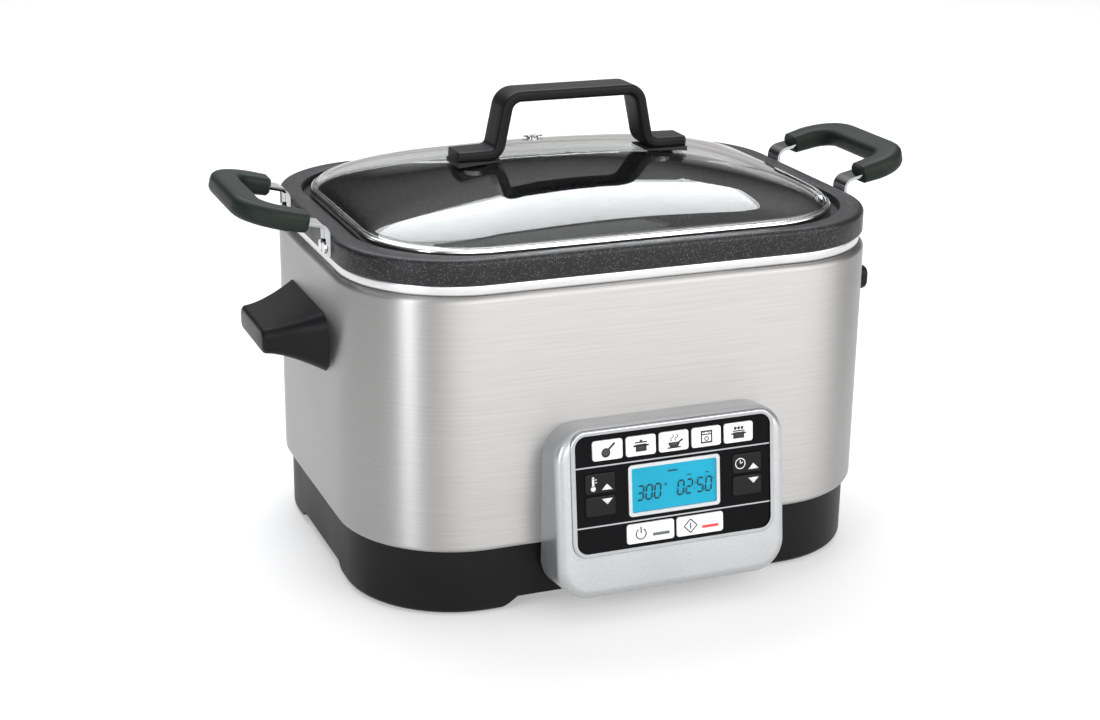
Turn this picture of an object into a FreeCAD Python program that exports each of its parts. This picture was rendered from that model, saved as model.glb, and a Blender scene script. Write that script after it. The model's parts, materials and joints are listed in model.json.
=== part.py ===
# Digital slow cooker with a lift-out cooking pot, glass lid and front control panel.
# Frame: +Z up, X across the handles, -Y is the front; the origin lies on the table under the middle.
import FreeCAD, Part
import math
import os
import re
import Sketcher
from FreeCAD import Placement, Rotation, Vector

doc = FreeCAD.newDocument("SlowCooker")
sheet = doc.addObject("Spreadsheet::Sheet", "Sizes")

# Driving dimensions, in millimetres and degrees.
SIZES = {
    # Steel wrap
    "wrap_half_x": 162.0, "wrap_half_y": 124.0, "wrap_corner": 69.0, "wrap_sheet": 0.8,
    "wrap_low": 40.0, "wrap_top": 188.0, "wrap_roll": 3.5, "wrap_lip_low": 8.0, "wrap_lip_top": 5.0,
    # Base
    "base_inset": 4.0, "base_wall": 7.0, "base_low": 1.0, "arch_rise": 7.0, "floor_sheet": 3.0,
    "arch_half_x": 88.0, "arch_half_y": 50.0, "arch_slope": 12.0, "spigot_rise": 6.0, "base_edge": 4.0,
    "opening_half_x": 64.0, "opening_inset": 26.0, "cover_lap": 8.0, "cover_sheet": 2.5,
    "slot_length": 40.0, "slot_width": 3.0, "slot_pitch": 9.0,
    "pad_radius": 11.0, "pad_thick": 3.0, "pad_sink": 2.0, "pad_x": 124.0, "pad_y": 86.0,
    "cover_screw": 1.5, "cover_screw_head": 3.0, "cover_screw_reach": 4.5, "head_thick": 1.5,
    "gland_x": 60.0, "gland_z": 26.0, "gland_bore": 4.0, "gland_body": 6.5, "gland_flange": 10.0,
    "gland_flange_thick": 3.0, "gland_inside": 4.0,
    # Fits
    "slide_gap": 0.3, "seat_gap": 0.2, "overshoot": 1.0,
    # Heating well
    "well_inset_x": 13.5, "well_inset_y": 12.5, "well_inset_corner": 11.0, "well_sheet": 1.0,
    "well_floor": 74.0,
    "heater_half_x": 95.0, "heater_half_y": 65.0, "heater_corner": 20.0, "heater_thick": 10.0,
    "coil_radius": 46.0, "coil_tube": 3.25, "pin_radius": 2.2, "pin_drop": 9.0, "pin_spread": 12.0,
    "sensor_radius": 8.0, "fuse_radius": 2.5, "fuse_length": 22.0, "fuse_y": 70.0,
    "shield_half_x": 130.0, "shield_half_y": 92.0, "shield_corner": 40.0, "shield_sheet": 1.0,
    "shield_z": 58.0, "post_radius": 4.0, "post_x": 110.0, "post_y": 60.0,
    # Electronics in the base
    "standoff_radius": 2.5, "standoff_high": 6.0, "board_half_x": 60.0, "board_half_y": 44.0,
    "board_thick": 1.6,
    "relay_x": 18.0, "relay_y": 15.0, "relay_z": 15.0, "coil_block_x": 28.0, "coil_block_y": 24.0,
    "coil_block_z": 22.0, "terminal_x": 24.0, "terminal_y": 10.0, "terminal_z": 11.0, "can_radius": 6.0,
    "can_high": 18.0,
    # Seat ring
    "ring_inset": 3.0, "ring_width": 9.0, "ring_high": 6.5,
    # Side handles
    "grip_root_y": 42.0, "grip_root_low": 125.0, "grip_root_top": 160.0, "grip_root_corner": 9.0,
    "grip_reach": 34.0, "grip_tip_y": 27.0, "grip_tip_low": 136.0, "grip_tip_top": 150.0,
    "grip_tip_corner": 6.0,
    "grip_mid_share": 0.35, "grip_mid_blend": 0.62, "grip_edge": 2.0,
    "grip_screw": 2.5, "grip_screw_y": 24.0, "grip_screw_reach": 14.0,
    # Control panel, measured in the plane of its leaning face
    "lean": 7.0, "face_x": 6.0, "panel_reach": 24.0, "face_z": 76.5,
    "bezel_side": 8.0, "bezel_up": 2.0, "bezel_down": 25.0, "housing_corner": 19.0,
    "housing_edge": 6.0,
    "frame_half_x": 62.0, "frame_half_y": 36.0, "frame_corner": 9.0, "frame_width": 2.4, "frame_proud": 1.2,
    "frame_edge": 0.8,
    "fascia_thick": 3.0, "ledge_width": 0.8, "panel_gap": 0.1, "cavity_depth": 14.0, "lug_radius": 3.0,
    "panel_board_thick": 1.6, "switch_half": 3.0, "switch_high": 3.5, "switch_bore": 1.8,
    "switch_bore_deep": 2.0,
    "stem_radius": 1.5, "key_gap": 0.25, "key_proud": 0.8, "key_lip": 0.7, "key_lip_thick": 1.0,
    "key_rest": 0.1, "key_travel": 0.8, "key_corner": 1.6, "key_edge": 0.5,
    "mode_pitch": 20.0, "mode_half_x": 9.0, "mode_half_y": 5.7, "mode_y": 24.3,
    "arrow_x": 45.0, "arrow_half_x": 9.0, "arrow_half_y": 5.7, "arrow_up_y": 6.0, "arrow_down_y": -7.0,
    "main_x": 15.2, "main_half_x": 14.4, "main_half_y": 5.7, "main_y": -26.0,
    "light_half_x": 5.0, "light_half_y": 0.8, "light_thick": 0.3, "light_x": 6.2, "light_y": -1.6,
    "lcd_half_x": 26.0, "lcd_half_y": 12.8, "lcd_frame": 2.0, "lcd_y": -1.2, "lcd_corner": 1.2,
    "lcd_proud": 0.6, "lens_thick": 1.2, "lens_sink": 0.3,
    "line_half_y": 0.4, "line_thick": 0.3, "line_upper_y": 15.6, "line_lower_y": -18.6,
    "wire_bore": 6.0, "wire_z": 60.0,
    # Cooking pot
    "collar_inset": 1.0, "collar_high": 14.0, "collar_edge": 3.0, "recess_gap": 5.0, "recess_deep": 5.0,
    "bowl_clear_x": 4.5, "bowl_clear_y": 4.0, "bowl_clear_corner": 1.0, "bowl_draft": 10.0, "bowl_wall": 3.0,
    "bowl_round": 14.0,
    # Pot handles
    "strap_y": 43.0, "strap_half": 7.0, "strap_thick": 2.0, "strap_low": 2.0, "strap_rise": 18.0,
    "strap_tilt": 13.0, "strap_tongue": 28.0, "rivet_radius": 3.2, "rivet_shank": 1.6, "rivet_head": 1.5,
    "rivet_reach": 6.0, "rivet_low": 4.5, "rivet_pitch": 7.0,
    "bar_start": 12.0, "bar_end": 51.0, "bar_half_y": 52.0, "bar_corner": 24.0, "bar_width": 16.0,
    "arm_width": 18.0, "bar_thick": 12.0, "bar_edge": 3.5,
    # Lid
    "rim_inset_x": 18.0, "rim_inset_y": 16.0, "rim_inset_corner": 9.0, "rim_width": 5.0, "rim_high": 6.0,
    "rim_edge": 1.5,
    "glass_thick": 4.0, "glass_inset": 2.0, "glass_rise": 24.5, "glass_skirt": 3.5, "glass_seat": 2.5,
    "knob_foot_in": 46.0, "knob_foot_out": 73.0, "knob_half_y": 11.0, "knob_sink": 0.4, "knob_thick": 6.5,
    "knob_rise": 39.9, "knob_top_half": 41.0, "knob_round": 10.0, "knob_edge": 1.5,
    "knob_screw_x": 60.0, "knob_screw": 2.5, "knob_screw_head": 5.5, "knob_screw_reach": 4.0,
    "washer_radius": 7.5,
    "washer_low": 5.0, "vent_y": 60.0, "vent_bore": 2.5, "vent_radius": 3.9, "vent_flange": 6.5,
    "vent_flange_thick": 0.8,
}
# Sizes that follow from others and a clearance
FOLLOWING = {
    "well_half_x": "wrap_half_x - well_inset_x",
    "well_half_y": "wrap_half_y - well_inset_y",
    "well_corner": "wrap_corner - well_inset_corner",
    "mouth_half_x": "well_half_x - bowl_clear_x - bowl_wall",
    "mouth_half_y": "well_half_y - bowl_clear_y - bowl_wall",
    "mouth_corner": "well_corner - bowl_clear_corner - bowl_wall",
    "opening_half_y": "wrap_half_y - opening_inset",
    "face_y": "-wrap_half_y - panel_reach",
    "housing_half_x": "frame_half_x + bezel_side",
    "housing_up": "frame_half_y + bezel_up",
    "housing_down": "frame_half_y + bezel_down",
    "rim_half_x": "wrap_half_x - rim_inset_x",
    "rim_half_y": "wrap_half_y - rim_inset_y",
    "rim_corner": "wrap_corner - rim_inset_corner",
    "lid_seat": "wrap_top + ring_high + collar_high - recess_deep",
    "knob_base": "lid_seat + glass_seat + glass_skirt + glass_rise - knob_sink",
    "knob_top": "knob_base + knob_rise",
}
ALIASES = {**SIZES, **{alias: "=" + formula for alias, formula in FOLLOWING.items()}}
for row, (alias, content) in enumerate(ALIASES.items(), start=1):
    sheet.set(f"A{row}", alias)
    sheet.set(f"B{row}", str(content))
    sheet.setAlias(f"B{row}", alias)
doc.recompute()


# Expressions and small builders
def bound(text):
    """Turn a formula written with plain size names into one that reads the sheet."""
    return re.sub(r"[a-z_]+", lambda w: "Sizes." + w.group() if w.group() in ALIASES else w.group(),
                  str(text))


def value(text):
    return float(sheet.evalExpression(bound(text)))


def bind(thing, **formulas):
    for name, formula in formulas.items():
        thing.setExpression(name.replace("__", "."), bound(formula))
    return thing


def add(kind, name, **properties):
    thing = doc.addObject(kind, name)
    for key, item in properties.items():
        setattr(thing, key, item)
    return thing


def place(thing, x, y, z):
    return bind(thing, Placement__Base__x=x, Placement__Base__y=y, Placement__Base__z=z)


def box(name, x0, x1, y0, y1, z0, z1):
    thing = add("Part::Box", name)
    bind(thing, Length=f"({x1}) - ({x0})", Width=f"({y1}) - ({y0})", Height=f"({z1}) - ({z0})")
    return place(thing, x0, y0, z0)


def cylinder(name, radius, x, y, z0, z1):
    thing = bind(add("Part::Cylinder", name), Radius=radius, Height=f"({z1}) - ({z0})")
    return place(thing, x, y, z0)


def cylinder_along(name, radius, axis, start, length):
    """Cylinder from a start point along an axis vector."""
    thing = bind(add("Part::Cylinder", name), Radius=radius, Height=length)
    thing.Placement = Placement(Vector(), Rotation(Vector(0, 0, 1), axis))
    return place(thing, *start)


def cut(name, base, *tools):
    tool = tools[0] if len(tools) == 1 else fuse(name + "_tools", *tools)
    return add("Part::Cut", name, Base=base, Tool=tool)


def fuse(name, *pieces):
    return add("Part::MultiFuse", name, Shapes=list(pieces))


def common(name, first, second):
    return add("Part::MultiCommon", name, Shapes=[first, second])


def group(name, pieces):
    return add("Part::Compound", name, Links=list(pieces))


def mirror(name, source, normal=Vector(1, 0, 0)):
    return add("Part::Mirroring", name, Source=source, Normal=normal)


def fillet(name, base, radius, chosen):
    """Round the edges of base for which chosen(edge) is true."""
    doc.recompute()
    size = value(radius)
    edges = [(i, size, size) for i, edge in enumerate(base.Shape.Edges, start=1) if chosen(edge)]
    return add("Part::Fillet", name, Base=base, Edges=edges)


def level(height):
    """Chooser for edges that lie wholly at one height."""
    z = value(height)
    return lambda edge: abs(edge.BoundBox.ZMin - z) < 1e-3 and abs(edge.BoundBox.ZMax - z) < 1e-3


def rounded_sketch(name, half_x, half_y, radius):
    """Rounded rectangle about the sketch origin, its half sizes and corner radius bound to the sheet."""
    sketch = add("Sketcher::SketchObject", name)
    hx, hy, r = value(half_x), value(half_y), value(radius)
    cx, cy = hx - r, hy - r
    corners = [(cx, -cy), (cx, cy), (-cx, cy), (-cx, -cy)]
    ends = [((-cx, -hy), (cx, -hy)), ((hx, -cy), (hx, cy)), ((cx, hy), (-cx, hy)), ((-hx, cy), (-hx, -cy))]
    for first, last in ends:
        sketch.addGeometry(Part.LineSegment(Vector(*first, 0), Vector(*last, 0)))
    for turn, corner in enumerate(corners, start=-1):
        circle = Part.Circle(Vector(*corner, 0), Vector(0, 0, 1), r)
        sketch.addGeometry(Part.ArcOfCircle(circle, turn * math.pi / 2, (turn + 1) * math.pi / 2))
    for side in range(4):
        sketch.addConstraint(Sketcher.Constraint("Tangent", side, 2, side + 4, 1))
        sketch.addConstraint(Sketcher.Constraint("Tangent", side + 4, 2, (side + 1) % 4, 1))
        sketch.addConstraint(Sketcher.Constraint("Horizontal" if side % 2 == 0 else "Vertical", side))
    for corner in range(5, 8):
        sketch.addConstraint(Sketcher.Constraint("Equal", 4, corner))
    dimensions = [
        ("radius", Sketcher.Constraint("Radius", 4, r), radius),
        ("right", Sketcher.Constraint("DistanceX", -1, 1, 1, 1, hx), half_x),
        ("left", Sketcher.Constraint("DistanceX", 3, 1, -1, 1, hx), half_x),
        ("back", Sketcher.Constraint("DistanceY", -1, 1, 2, 1, hy), half_y),
        ("front", Sketcher.Constraint("DistanceY", 0, 1, -1, 1, hy), half_y),
    ]
    for label, constraint, formula in dimensions:
        index = sketch.addConstraint(constraint)
        sketch.renameConstraint(index, label)
        sketch.setExpression("Constraints." + label, bound(formula))
    return sketch


def extrude(name, sketch, length):
    thing = add("Part::Extrusion", name, Base=sketch, DirMode="Normal", Solid=True)
    return bind(thing, LengthFwd=length)


def block(name, half_x, half_y, radius, z0, z1, x="0", y="0"):
    """Upright prism with rounded corners."""
    sketch = place(rounded_sketch(name + "_outline", half_x, half_y, radius), x, y, z0)
    return extrude(name, sketch, f"({z1}) - ({z0})")


def wrap_block(name, inset, z0, z1):
    """Upright prism that follows the cooker's outline, set in by a distance."""
    half_x, half_y, corner = (f"{size} - ({inset})" for size in ("wrap_half_x", "wrap_half_y", "wrap_corner"))
    return block(name, half_x, half_y, corner, z0, z1)


def loft(name, sections):
    return add("Part::Loft", name, Sections=sections, Solid=True, Ruled=False)


def profile(name, points, y0, y1):
    """Prism of a polygon in the X-Z plane, from y0 to y1."""
    sketch = add("Sketcher::SketchObject", name + "_outline")
    corners = [Vector(value(x), value(z), 0) for x, z in points]
    for first, last in zip(corners, corners[1:] + corners[:1]):
        sketch.addGeometry(Part.LineSegment(first, last))
    sketch.Placement = Placement(Vector(), Rotation(Vector(1, 0, 0), 90))
    bind(sketch, Placement__Base__y=y1)
    return extrude(name, sketch, f"({y1}) - ({y0})")


NODES = {}


def node(name, thing):
    thing.Label = name
    NODES[name] = thing
    return thing


# Steel wrap: one bent sheet with its top and bottom edges rolled inward
def rolled_block(name, inset, z0, z1, roll):
    plain = wrap_block(name + "_plain", inset, z0, z1)
    top, bottom = level(z1), level(z0)
    return fillet(name, plain, roll, lambda edge: top(edge) or bottom(edge))


def make_wrap():
    skin = rolled_block("wrap_skin", "0", "wrap_low", "wrap_top", "wrap_roll")
    hollow = rolled_block("wrap_hollow", "wrap_sheet", "wrap_low + wrap_sheet", "wrap_top - wrap_sheet",
                          "wrap_roll - wrap_sheet")
    low_mouth = wrap_block("wrap_low_mouth", "wrap_lip_low", "wrap_low - overshoot",
                           "wrap_low + 2 * wrap_roll")
    top_mouth = wrap_block("wrap_top_mouth", "wrap_lip_top", "wrap_top - 2 * wrap_roll",
                           "wrap_top + overshoot")
    wires = cylinder_along("wrap_wire_hole", "wire_bore", Vector(0, 1, 0),
                           ("face_x", "-wrap_half_y - overshoot", "wire_z"), "2 * wrap_roll")
    holes = [cylinder_along(f"wrap_screw_hole_{side}_{end}", "grip_screw", Vector(1, 0, 0),
                            (f"{side} * wrap_half_x - 2 * wrap_roll", f"{end} * grip_screw_y", GRIP_MID),
                            "4 * wrap_roll")
             for side in (-1, 1) for end in (-1, 1)]
    return cut("wrap", skin, hollow, low_mouth, top_mouth, wires, *holes)


GRIP_MID = "(grip_root_low + grip_root_top) / 2"

# Base: a thick black shell on four corner feet, with arches between them
FLOOR_LOW = "base_low + arch_rise"
FLOOR_TOP = f"{FLOOR_LOW} + floor_sheet"
COVER_LOW = f"{FLOOR_LOW} - cover_sheet"


def arch(name, half, reach, turned):
    """Tunnel under the base with sloping ends."""
    points = [(f"-{half} + arch_slope", FLOOR_LOW), (f"-{half}", "base_low - overshoot"),
              (half, "base_low - overshoot"), (f"{half} - arch_slope", FLOOR_LOW)]
    tunnel = profile(name, points, f"-{reach}", reach)
    if turned:
        tunnel.Placement = Placement(Vector(), Rotation(Vector(0, 0, 1), 90))
    return tunnel


def make_base():
    plain = wrap_block("base_plain", "base_inset", "base_low", "wrap_low")
    outer = fillet("base_outer", plain, "base_edge", level("base_low"))
    spigot = wrap_block("base_spigot", "wrap_lip_low + slide_gap", "wrap_low - overshoot",
                        "wrap_low + spigot_rise")
    hollow = wrap_block("base_hollow", "base_inset + base_wall", FLOOR_TOP,
                        "wrap_low + spigot_rise + overshoot")
    opening = block("base_opening", "opening_half_x", "opening_half_y", "cover_lap", FLOOR_LOW,
                    f"{FLOOR_TOP} + overshoot")
    arches = [arch("base_arch_front", "arch_half_x", "wrap_half_y", False),
              arch("base_arch_side", "arch_half_y", "wrap_half_x", True)]
    pits = [cylinder(f"base_pad_pit_{i}", "pad_radius", x, y, "base_low - overshoot", "base_low + pad_sink")
            for i, (x, y) in enumerate(corners_of("pad_x", "pad_y"))]
    screws = [cylinder(f"base_screw_hole_{i}", "cover_screw", x, y, FLOOR_LOW,
                       f"{COVER_LOW} + cover_screw_reach")
              for i, (x, y) in enumerate(corners_of(*COVER_SCREW))]
    gland = cylinder_along("base_gland_hole", "gland_body", Vector(0, 1, 0),
                           ("-gland_x", "opening_half_y", "gland_z"), "wrap_half_y")
    return cut("base", fuse("base_body", outer, spigot), hollow, opening, gland, *arches, *pits, *screws)


def corners_of(x, y):
    return [(f"{i} * ({x})", f"{j} * ({y})") for i in (-1, 1) for j in (-1, 1)]


COVER_SCREW = ("opening_half_x + cover_lap / 2", "opening_half_y * 0.7")


def make_cover():
    sheet_metal = block("cover_plain", "opening_half_x + cover_lap", "opening_half_y + cover_lap",
                        "cover_lap", COVER_LOW, FLOOR_LOW)
    holes = [cylinder(f"cover_hole_{i}", "cover_screw + seat_gap", x, y, "0", FLOOR_TOP)
             for i, (x, y) in enumerate(corners_of(*COVER_SCREW))]
    slots = [box(f"cover_slot_{i}", "-slot_length / 2", "slot_length / 2",
                 f"{i} * slot_pitch - slot_width / 2",
                 f"{i} * slot_pitch + slot_width / 2", "0", FLOOR_TOP) for i in range(-3, 4)]
    return cut("cover", sheet_metal, *holes, *slots)


def make_cover_screws():
    screws = []
    for i, (x, y) in enumerate(corners_of(*COVER_SCREW)):
        head = cylinder(f"cover_head_{i}", "cover_screw_head", x, y, f"{COVER_LOW} - head_thick", COVER_LOW)
        shank = cylinder(f"cover_shank_{i}", "cover_screw", x, y, COVER_LOW,
                         f"{COVER_LOW} + cover_screw_reach")
        screws.append(fuse(f"cover_screw_{i}", head, shank))
    return group("cover_screws", screws)


def make_pads():
    return group("pads", [cylinder(f"pad_{i}", "pad_radius", x, y, "base_low + pad_sink - pad_thick",
                                   "base_low + pad_sink")
                          for i, (x, y) in enumerate(corners_of("pad_x", "pad_y"))])


def make_gland():
    wall_out, wall_in = "wrap_half_y - base_inset", "wrap_half_y - base_inset - base_wall"
    along = Vector(0, 1, 0)
    body = cylinder_along("gland_tube", "gland_body", along,
                          ("-gland_x", f"{wall_in} - gland_inside", "gland_z"),
                          "base_wall + gland_inside")
    flange = cylinder_along("gland_collar", "gland_flange", along, ("-gland_x", wall_out, "gland_z"),
                            "gland_flange_thick")
    bore = cylinder_along("gland_hole", "gland_bore", along,
                          ("-gland_x", f"{wall_in} - gland_inside - overshoot", "gland_z"),
                          "base_wall + gland_inside + gland_flange_thick + 2")
    return cut("gland", fuse("gland_body_and_collar", body, flange), bore)


node("steel_wrap", make_wrap())
node("base_shell", make_base())
node("bottom_cover", make_cover())
node("cover_screws", make_cover_screws())
node("foot_pads", make_pads())
node("cord_gland", make_gland())

# Heating well, its heater and what stands under it
WELL_LOW = "well_floor - well_sheet"


def make_well():
    outside = block("well_outside", "well_half_x + well_sheet", "well_half_y + well_sheet",
                    "well_corner + well_sheet",
                    WELL_LOW, "wrap_top")
    flange = wrap_block("well_flange", "wrap_lip_top + seat_gap", "wrap_top - well_sheet", "wrap_top")
    inside = block("well_inside", "well_half_x", "well_half_y", "well_corner", "well_floor",
                   "wrap_top + overshoot")
    pins = [cylinder(f"well_pin_hole_{i}", "pin_radius + slide_gap", x, "-coil_radius",
                     f"{WELL_LOW} - overshoot", "well_floor + overshoot")
            for i, x in enumerate(("-pin_spread", "pin_spread"))]
    return cut("well", fuse("well_body", outside, flange), inside, *pins)


def make_heater():
    top = "well_floor + heater_thick"
    slab = block("heater_slab", "heater_half_x", "heater_half_y", "heater_corner", "well_floor", top)
    wide = cylinder("heater_groove_out", "coil_radius + coil_tube + slide_gap", "0", "0", "well_floor",
                    "well_floor + 2 * coil_tube")
    core = cylinder("heater_groove_in", "coil_radius - coil_tube - slide_gap", "0", "0", "well_floor",
                    "well_floor + 2 * coil_tube")
    hole = cylinder("heater_sensor_hole", "sensor_radius + seat_gap", "0", "0", "well_floor - overshoot",
                    f"{top} + overshoot")
    pins = [cylinder(f"heater_pin_way_{i}", "pin_radius + slide_gap", x, "-coil_radius",
                     "well_floor - overshoot",
                     "well_floor + 2 * coil_tube") for i, x in enumerate(("-pin_spread", "pin_spread"))]
    return cut("heater", slab, cut("heater_groove", wide, core), hole, *pins)


def make_element():
    ring = bind(add("Part::Torus", "element_ring"), Radius1="coil_radius", Radius2="coil_tube")
    place(ring, "0", "0", "well_floor + coil_tube")
    pins = [cylinder(f"element_pin_{i}", "pin_radius", x, "-coil_radius", f"{WELL_LOW} - pin_drop",
                     "well_floor + coil_tube")
            for i, x in enumerate(("-pin_spread", "pin_spread"))]
    return fuse("element", ring, *pins)


def make_shield():
    plate = block("shield_plate", "shield_half_x", "shield_half_y", "shield_corner", "shield_z",
                  "shield_z + shield_sheet")
    ways = [cylinder(f"shield_pin_way_{i}", "3 * pin_radius", x, "-coil_radius", "shield_z - overshoot",
                     "shield_z + 2 * shield_sheet")
            for i, x in enumerate(("-pin_spread", "pin_spread"))]
    return cut("shield", plate, *ways)


def make_columns(name, z0, z1):
    return group(name, [cylinder(f"{name}_{i}", "post_radius", x, y, z0, z1)
                        for i, (x, y) in enumerate(corners_of("post_x", "post_y"))])


node("heat_well", make_well())
node("heater_plate", make_heater())
node("heating_element", make_element())
node("temperature_sensor", cylinder("sensor", "sensor_radius", "0", "0", "well_floor",
                                    "well_floor + heater_thick - seat_gap"))
node("thermal_fuse", cylinder_along("fuse", "fuse_radius", Vector(1, 0, 0),
                                    ("-fuse_length / 2", "fuse_y", f"{WELL_LOW} - fuse_radius"),
                                    "fuse_length"))
node("heat_shield", make_shield())
node("support_posts", make_columns("posts", FLOOR_TOP, "shield_z"))
node("shield_spacers", make_columns("spacers", "shield_z + shield_sheet", WELL_LOW))

# Power electronics on the bottom cover
BOARD_LOW = f"{FLOOR_LOW} + standoff_high"
BOARD_TOP = f"{BOARD_LOW} + board_thick"


def on_board(name, x, y, size_x, size_y, high):
    return box(name, f"{x} - {size_x} / 2", f"{x} + {size_x} / 2", f"{y} - {size_y} / 2",
               f"{y} + {size_y} / 2",
               BOARD_TOP, f"{BOARD_TOP} + {high}")


node("board_standoffs", group("standoffs", [
    cylinder(f"standoff_{i}", "standoff_radius", x, y, FLOOR_LOW, BOARD_LOW)
    for i, (x, y) in enumerate(corners_of("board_half_x - 2 * standoff_radius",
                                          "board_half_y - 2 * standoff_radius"))]))
node("power_board", box("board", "-board_half_x", "board_half_x", "-board_half_y", "board_half_y",
                        BOARD_LOW, BOARD_TOP))
node("heater_relay", on_board("relay", "board_half_x / 2", "board_half_y / 2", "relay_x", "relay_y",
                              "relay_z"))
node("transformer", on_board("coil_block", "-board_half_x / 2", "board_half_y / 4", "coil_block_x",
                             "coil_block_y",
                             "coil_block_z"))
node("terminal_block", on_board("terminal", "0", "board_half_y - terminal_y", "terminal_x", "terminal_y",
                                "terminal_z"))
node("smoothing_capacitor", cylinder("capacitor", "can_radius", "board_half_x / 2", "-board_half_y / 2",
                                     BOARD_TOP,
                                     f"{BOARD_TOP} + can_high"))

# Seat ring under the pot's collar
RING_TOP = "wrap_top + ring_high"
node("seat_ring", cut("ring", wrap_block("ring_out", "ring_inset", "wrap_top", RING_TOP),
                      wrap_block("ring_in", "ring_inset + ring_width", "wrap_top - overshoot",
                                 f"{RING_TOP} + overshoot")))


# Side handles of the base: tapering blocks with a hollow flare
ACROSS = Rotation(Vector(1, 1, 1), 120)


def grip_section(name, x, half_y, low, top, corner):
    sketch = rounded_sketch(name, half_y, f"(({top}) - ({low})) / 2", corner)
    sketch.Placement = Placement(Vector(), ACROSS)
    return place(sketch, x, "0", f"(({top}) + ({low})) / 2")


def make_side_handle():
    middle = {size: f"grip_root_{size} + (grip_tip_{size} - grip_root_{size}) * grip_mid_blend"
              for size in ("y", "low", "top", "corner")}
    sections = [
        grip_section("grip_root", "wrap_half_x", "grip_root_y", "grip_root_low", "grip_root_top",
                     "grip_root_corner"),
        grip_section("grip_middle", "wrap_half_x + grip_reach * grip_mid_share", middle["y"], middle["low"],
                     middle["top"], middle["corner"]),
        grip_section("grip_tip", "wrap_half_x + grip_reach", "grip_tip_y", "grip_tip_low", "grip_tip_top",
                     "grip_tip_corner"),
    ]
    solid = loft("grip_loft", sections)
    tip = value("wrap_half_x + grip_reach")
    soft = fillet("grip_soft", solid, "grip_edge", lambda edge: edge.BoundBox.XMin > tip - 1e-3)
    holes = [cylinder_along(f"grip_hole_{end}", "grip_screw", Vector(1, 0, 0),
                            ("wrap_half_x - overshoot", f"{end} * grip_screw_y", GRIP_MID),
                            "grip_screw_reach + overshoot")
             for end in (-1, 1)]
    return cut("grip", soft, *holes)


def make_handle_screws():
    screws = []
    for end in (-1, 1):
        head = cylinder_along(f"grip_head_{end}", "2 * grip_screw", Vector(1, 0, 0),
                              ("wrap_half_x - wrap_sheet - head_thick", f"{end} * grip_screw_y", GRIP_MID),
                              "head_thick")
        shank = cylinder_along(f"grip_shank_{end}", "grip_screw", Vector(1, 0, 0),
                               ("wrap_half_x - wrap_sheet", f"{end} * grip_screw_y", GRIP_MID),
                               "wrap_sheet + grip_screw_reach")
        screws.append(fuse(f"grip_screw_{end}", head, shank))
    right = group("grip_screws_right", screws)
    return group("grip_screws", [right, mirror("grip_screws_left", right)])


right_grip = node("side_handle_right", make_side_handle())
node("side_handle_left", mirror("grip_left", right_grip))
node("side_handle_screws", make_handle_screws())

# Control panel: everything is drawn in the plane of its leaning face, with w measured outward
LEAN = math.radians(value("lean"))
OUTWARD = Vector(0, -math.cos(LEAN), math.sin(LEAN))
PANEL_TURN = Rotation(Vector(1, 0, 0), 90 - value("lean"))


def on_panel(thing, x, y, w):
    thing.Placement = Placement(Vector(), PANEL_TURN)
    return place(thing, f"face_x + ({x})", f"face_y + ({y}) * sin(lean) - ({w}) * cos(lean)",
                 f"face_z + ({y}) * cos(lean) + ({w}) * sin(lean)")


def panel_block(name, half_x, half_y, radius, w0, w1, x="0", y="0"):
    sketch = on_panel(rounded_sketch(name + "_outline", half_x, half_y, radius), x, y, w0)
    return extrude(name, sketch, f"({w1}) - ({w0})")


def panel_pin(name, radius, x, y, w0, w1):
    return on_panel(bind(add("Part::Cylinder", name), Radius=radius, Height=f"({w1}) - ({w0})"), x, y, w0)


def on_face(w):
    """Chooser for edges that lie wholly at one distance from the panel face."""
    origin = Vector(value("face_x"), value("face_y"), value("face_z"))
    offset = value(w)
    return lambda edge: all(abs((v.Point - origin).dot(OUTWARD) - offset) < 1e-3 for v in edge.Vertexes)


CAVITY_X = "frame_half_x - frame_width - ledge_width"
CAVITY_Y = "frame_half_y - frame_width - ledge_width"
CAVITY_CORNER = "frame_corner - frame_width - ledge_width"
BOARD_W = "-cavity_depth + 2"
SWITCH_W = f"{BOARD_W} + panel_board_thick"
LUGS = corners_of(f"{CAVITY_X} - 2 * lug_radius", f"{CAVITY_Y} - 1.5 * lug_radius")


def make_housing():
    middle = "(housing_up - housing_down) / 2"
    plain = panel_block("housing_plain", "housing_half_x", "(housing_up + housing_down) / 2",
                        "housing_corner",
                        "-wrap_half_y / 2", "0", "0", middle)
    soft = fillet("housing_soft", plain, "housing_edge", on_face("0"))
    seat = panel_block("housing_seat", "frame_half_x + panel_gap", "frame_half_y + panel_gap",
                       "frame_corner + panel_gap",
                       "-fascia_thick", "overshoot")
    cavity = panel_block("housing_cavity", CAVITY_X, CAVITY_Y, CAVITY_CORNER, "-cavity_depth", "0")
    body = box("housing_behind", "-wrap_half_x", "wrap_half_x", "-wrap_half_y", "wrap_half_y", "-wrap_top",
               "wrap_top")
    wires = cylinder_along("housing_wire_hole", "wire_bore", Vector(0, 1, 0),
                           ("face_x", "face_y + cavity_depth", "wire_z"),
                           "-face_y - cavity_depth")
    shell = cut("housing_shell", soft, seat, cavity, body, wires)
    lugs = [panel_pin(f"housing_lug_{i}", "lug_radius", x, y, "-cavity_depth", BOARD_W) for i,
            (x, y) in enumerate(LUGS)]
    return fuse("housing", shell, *lugs)


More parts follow.
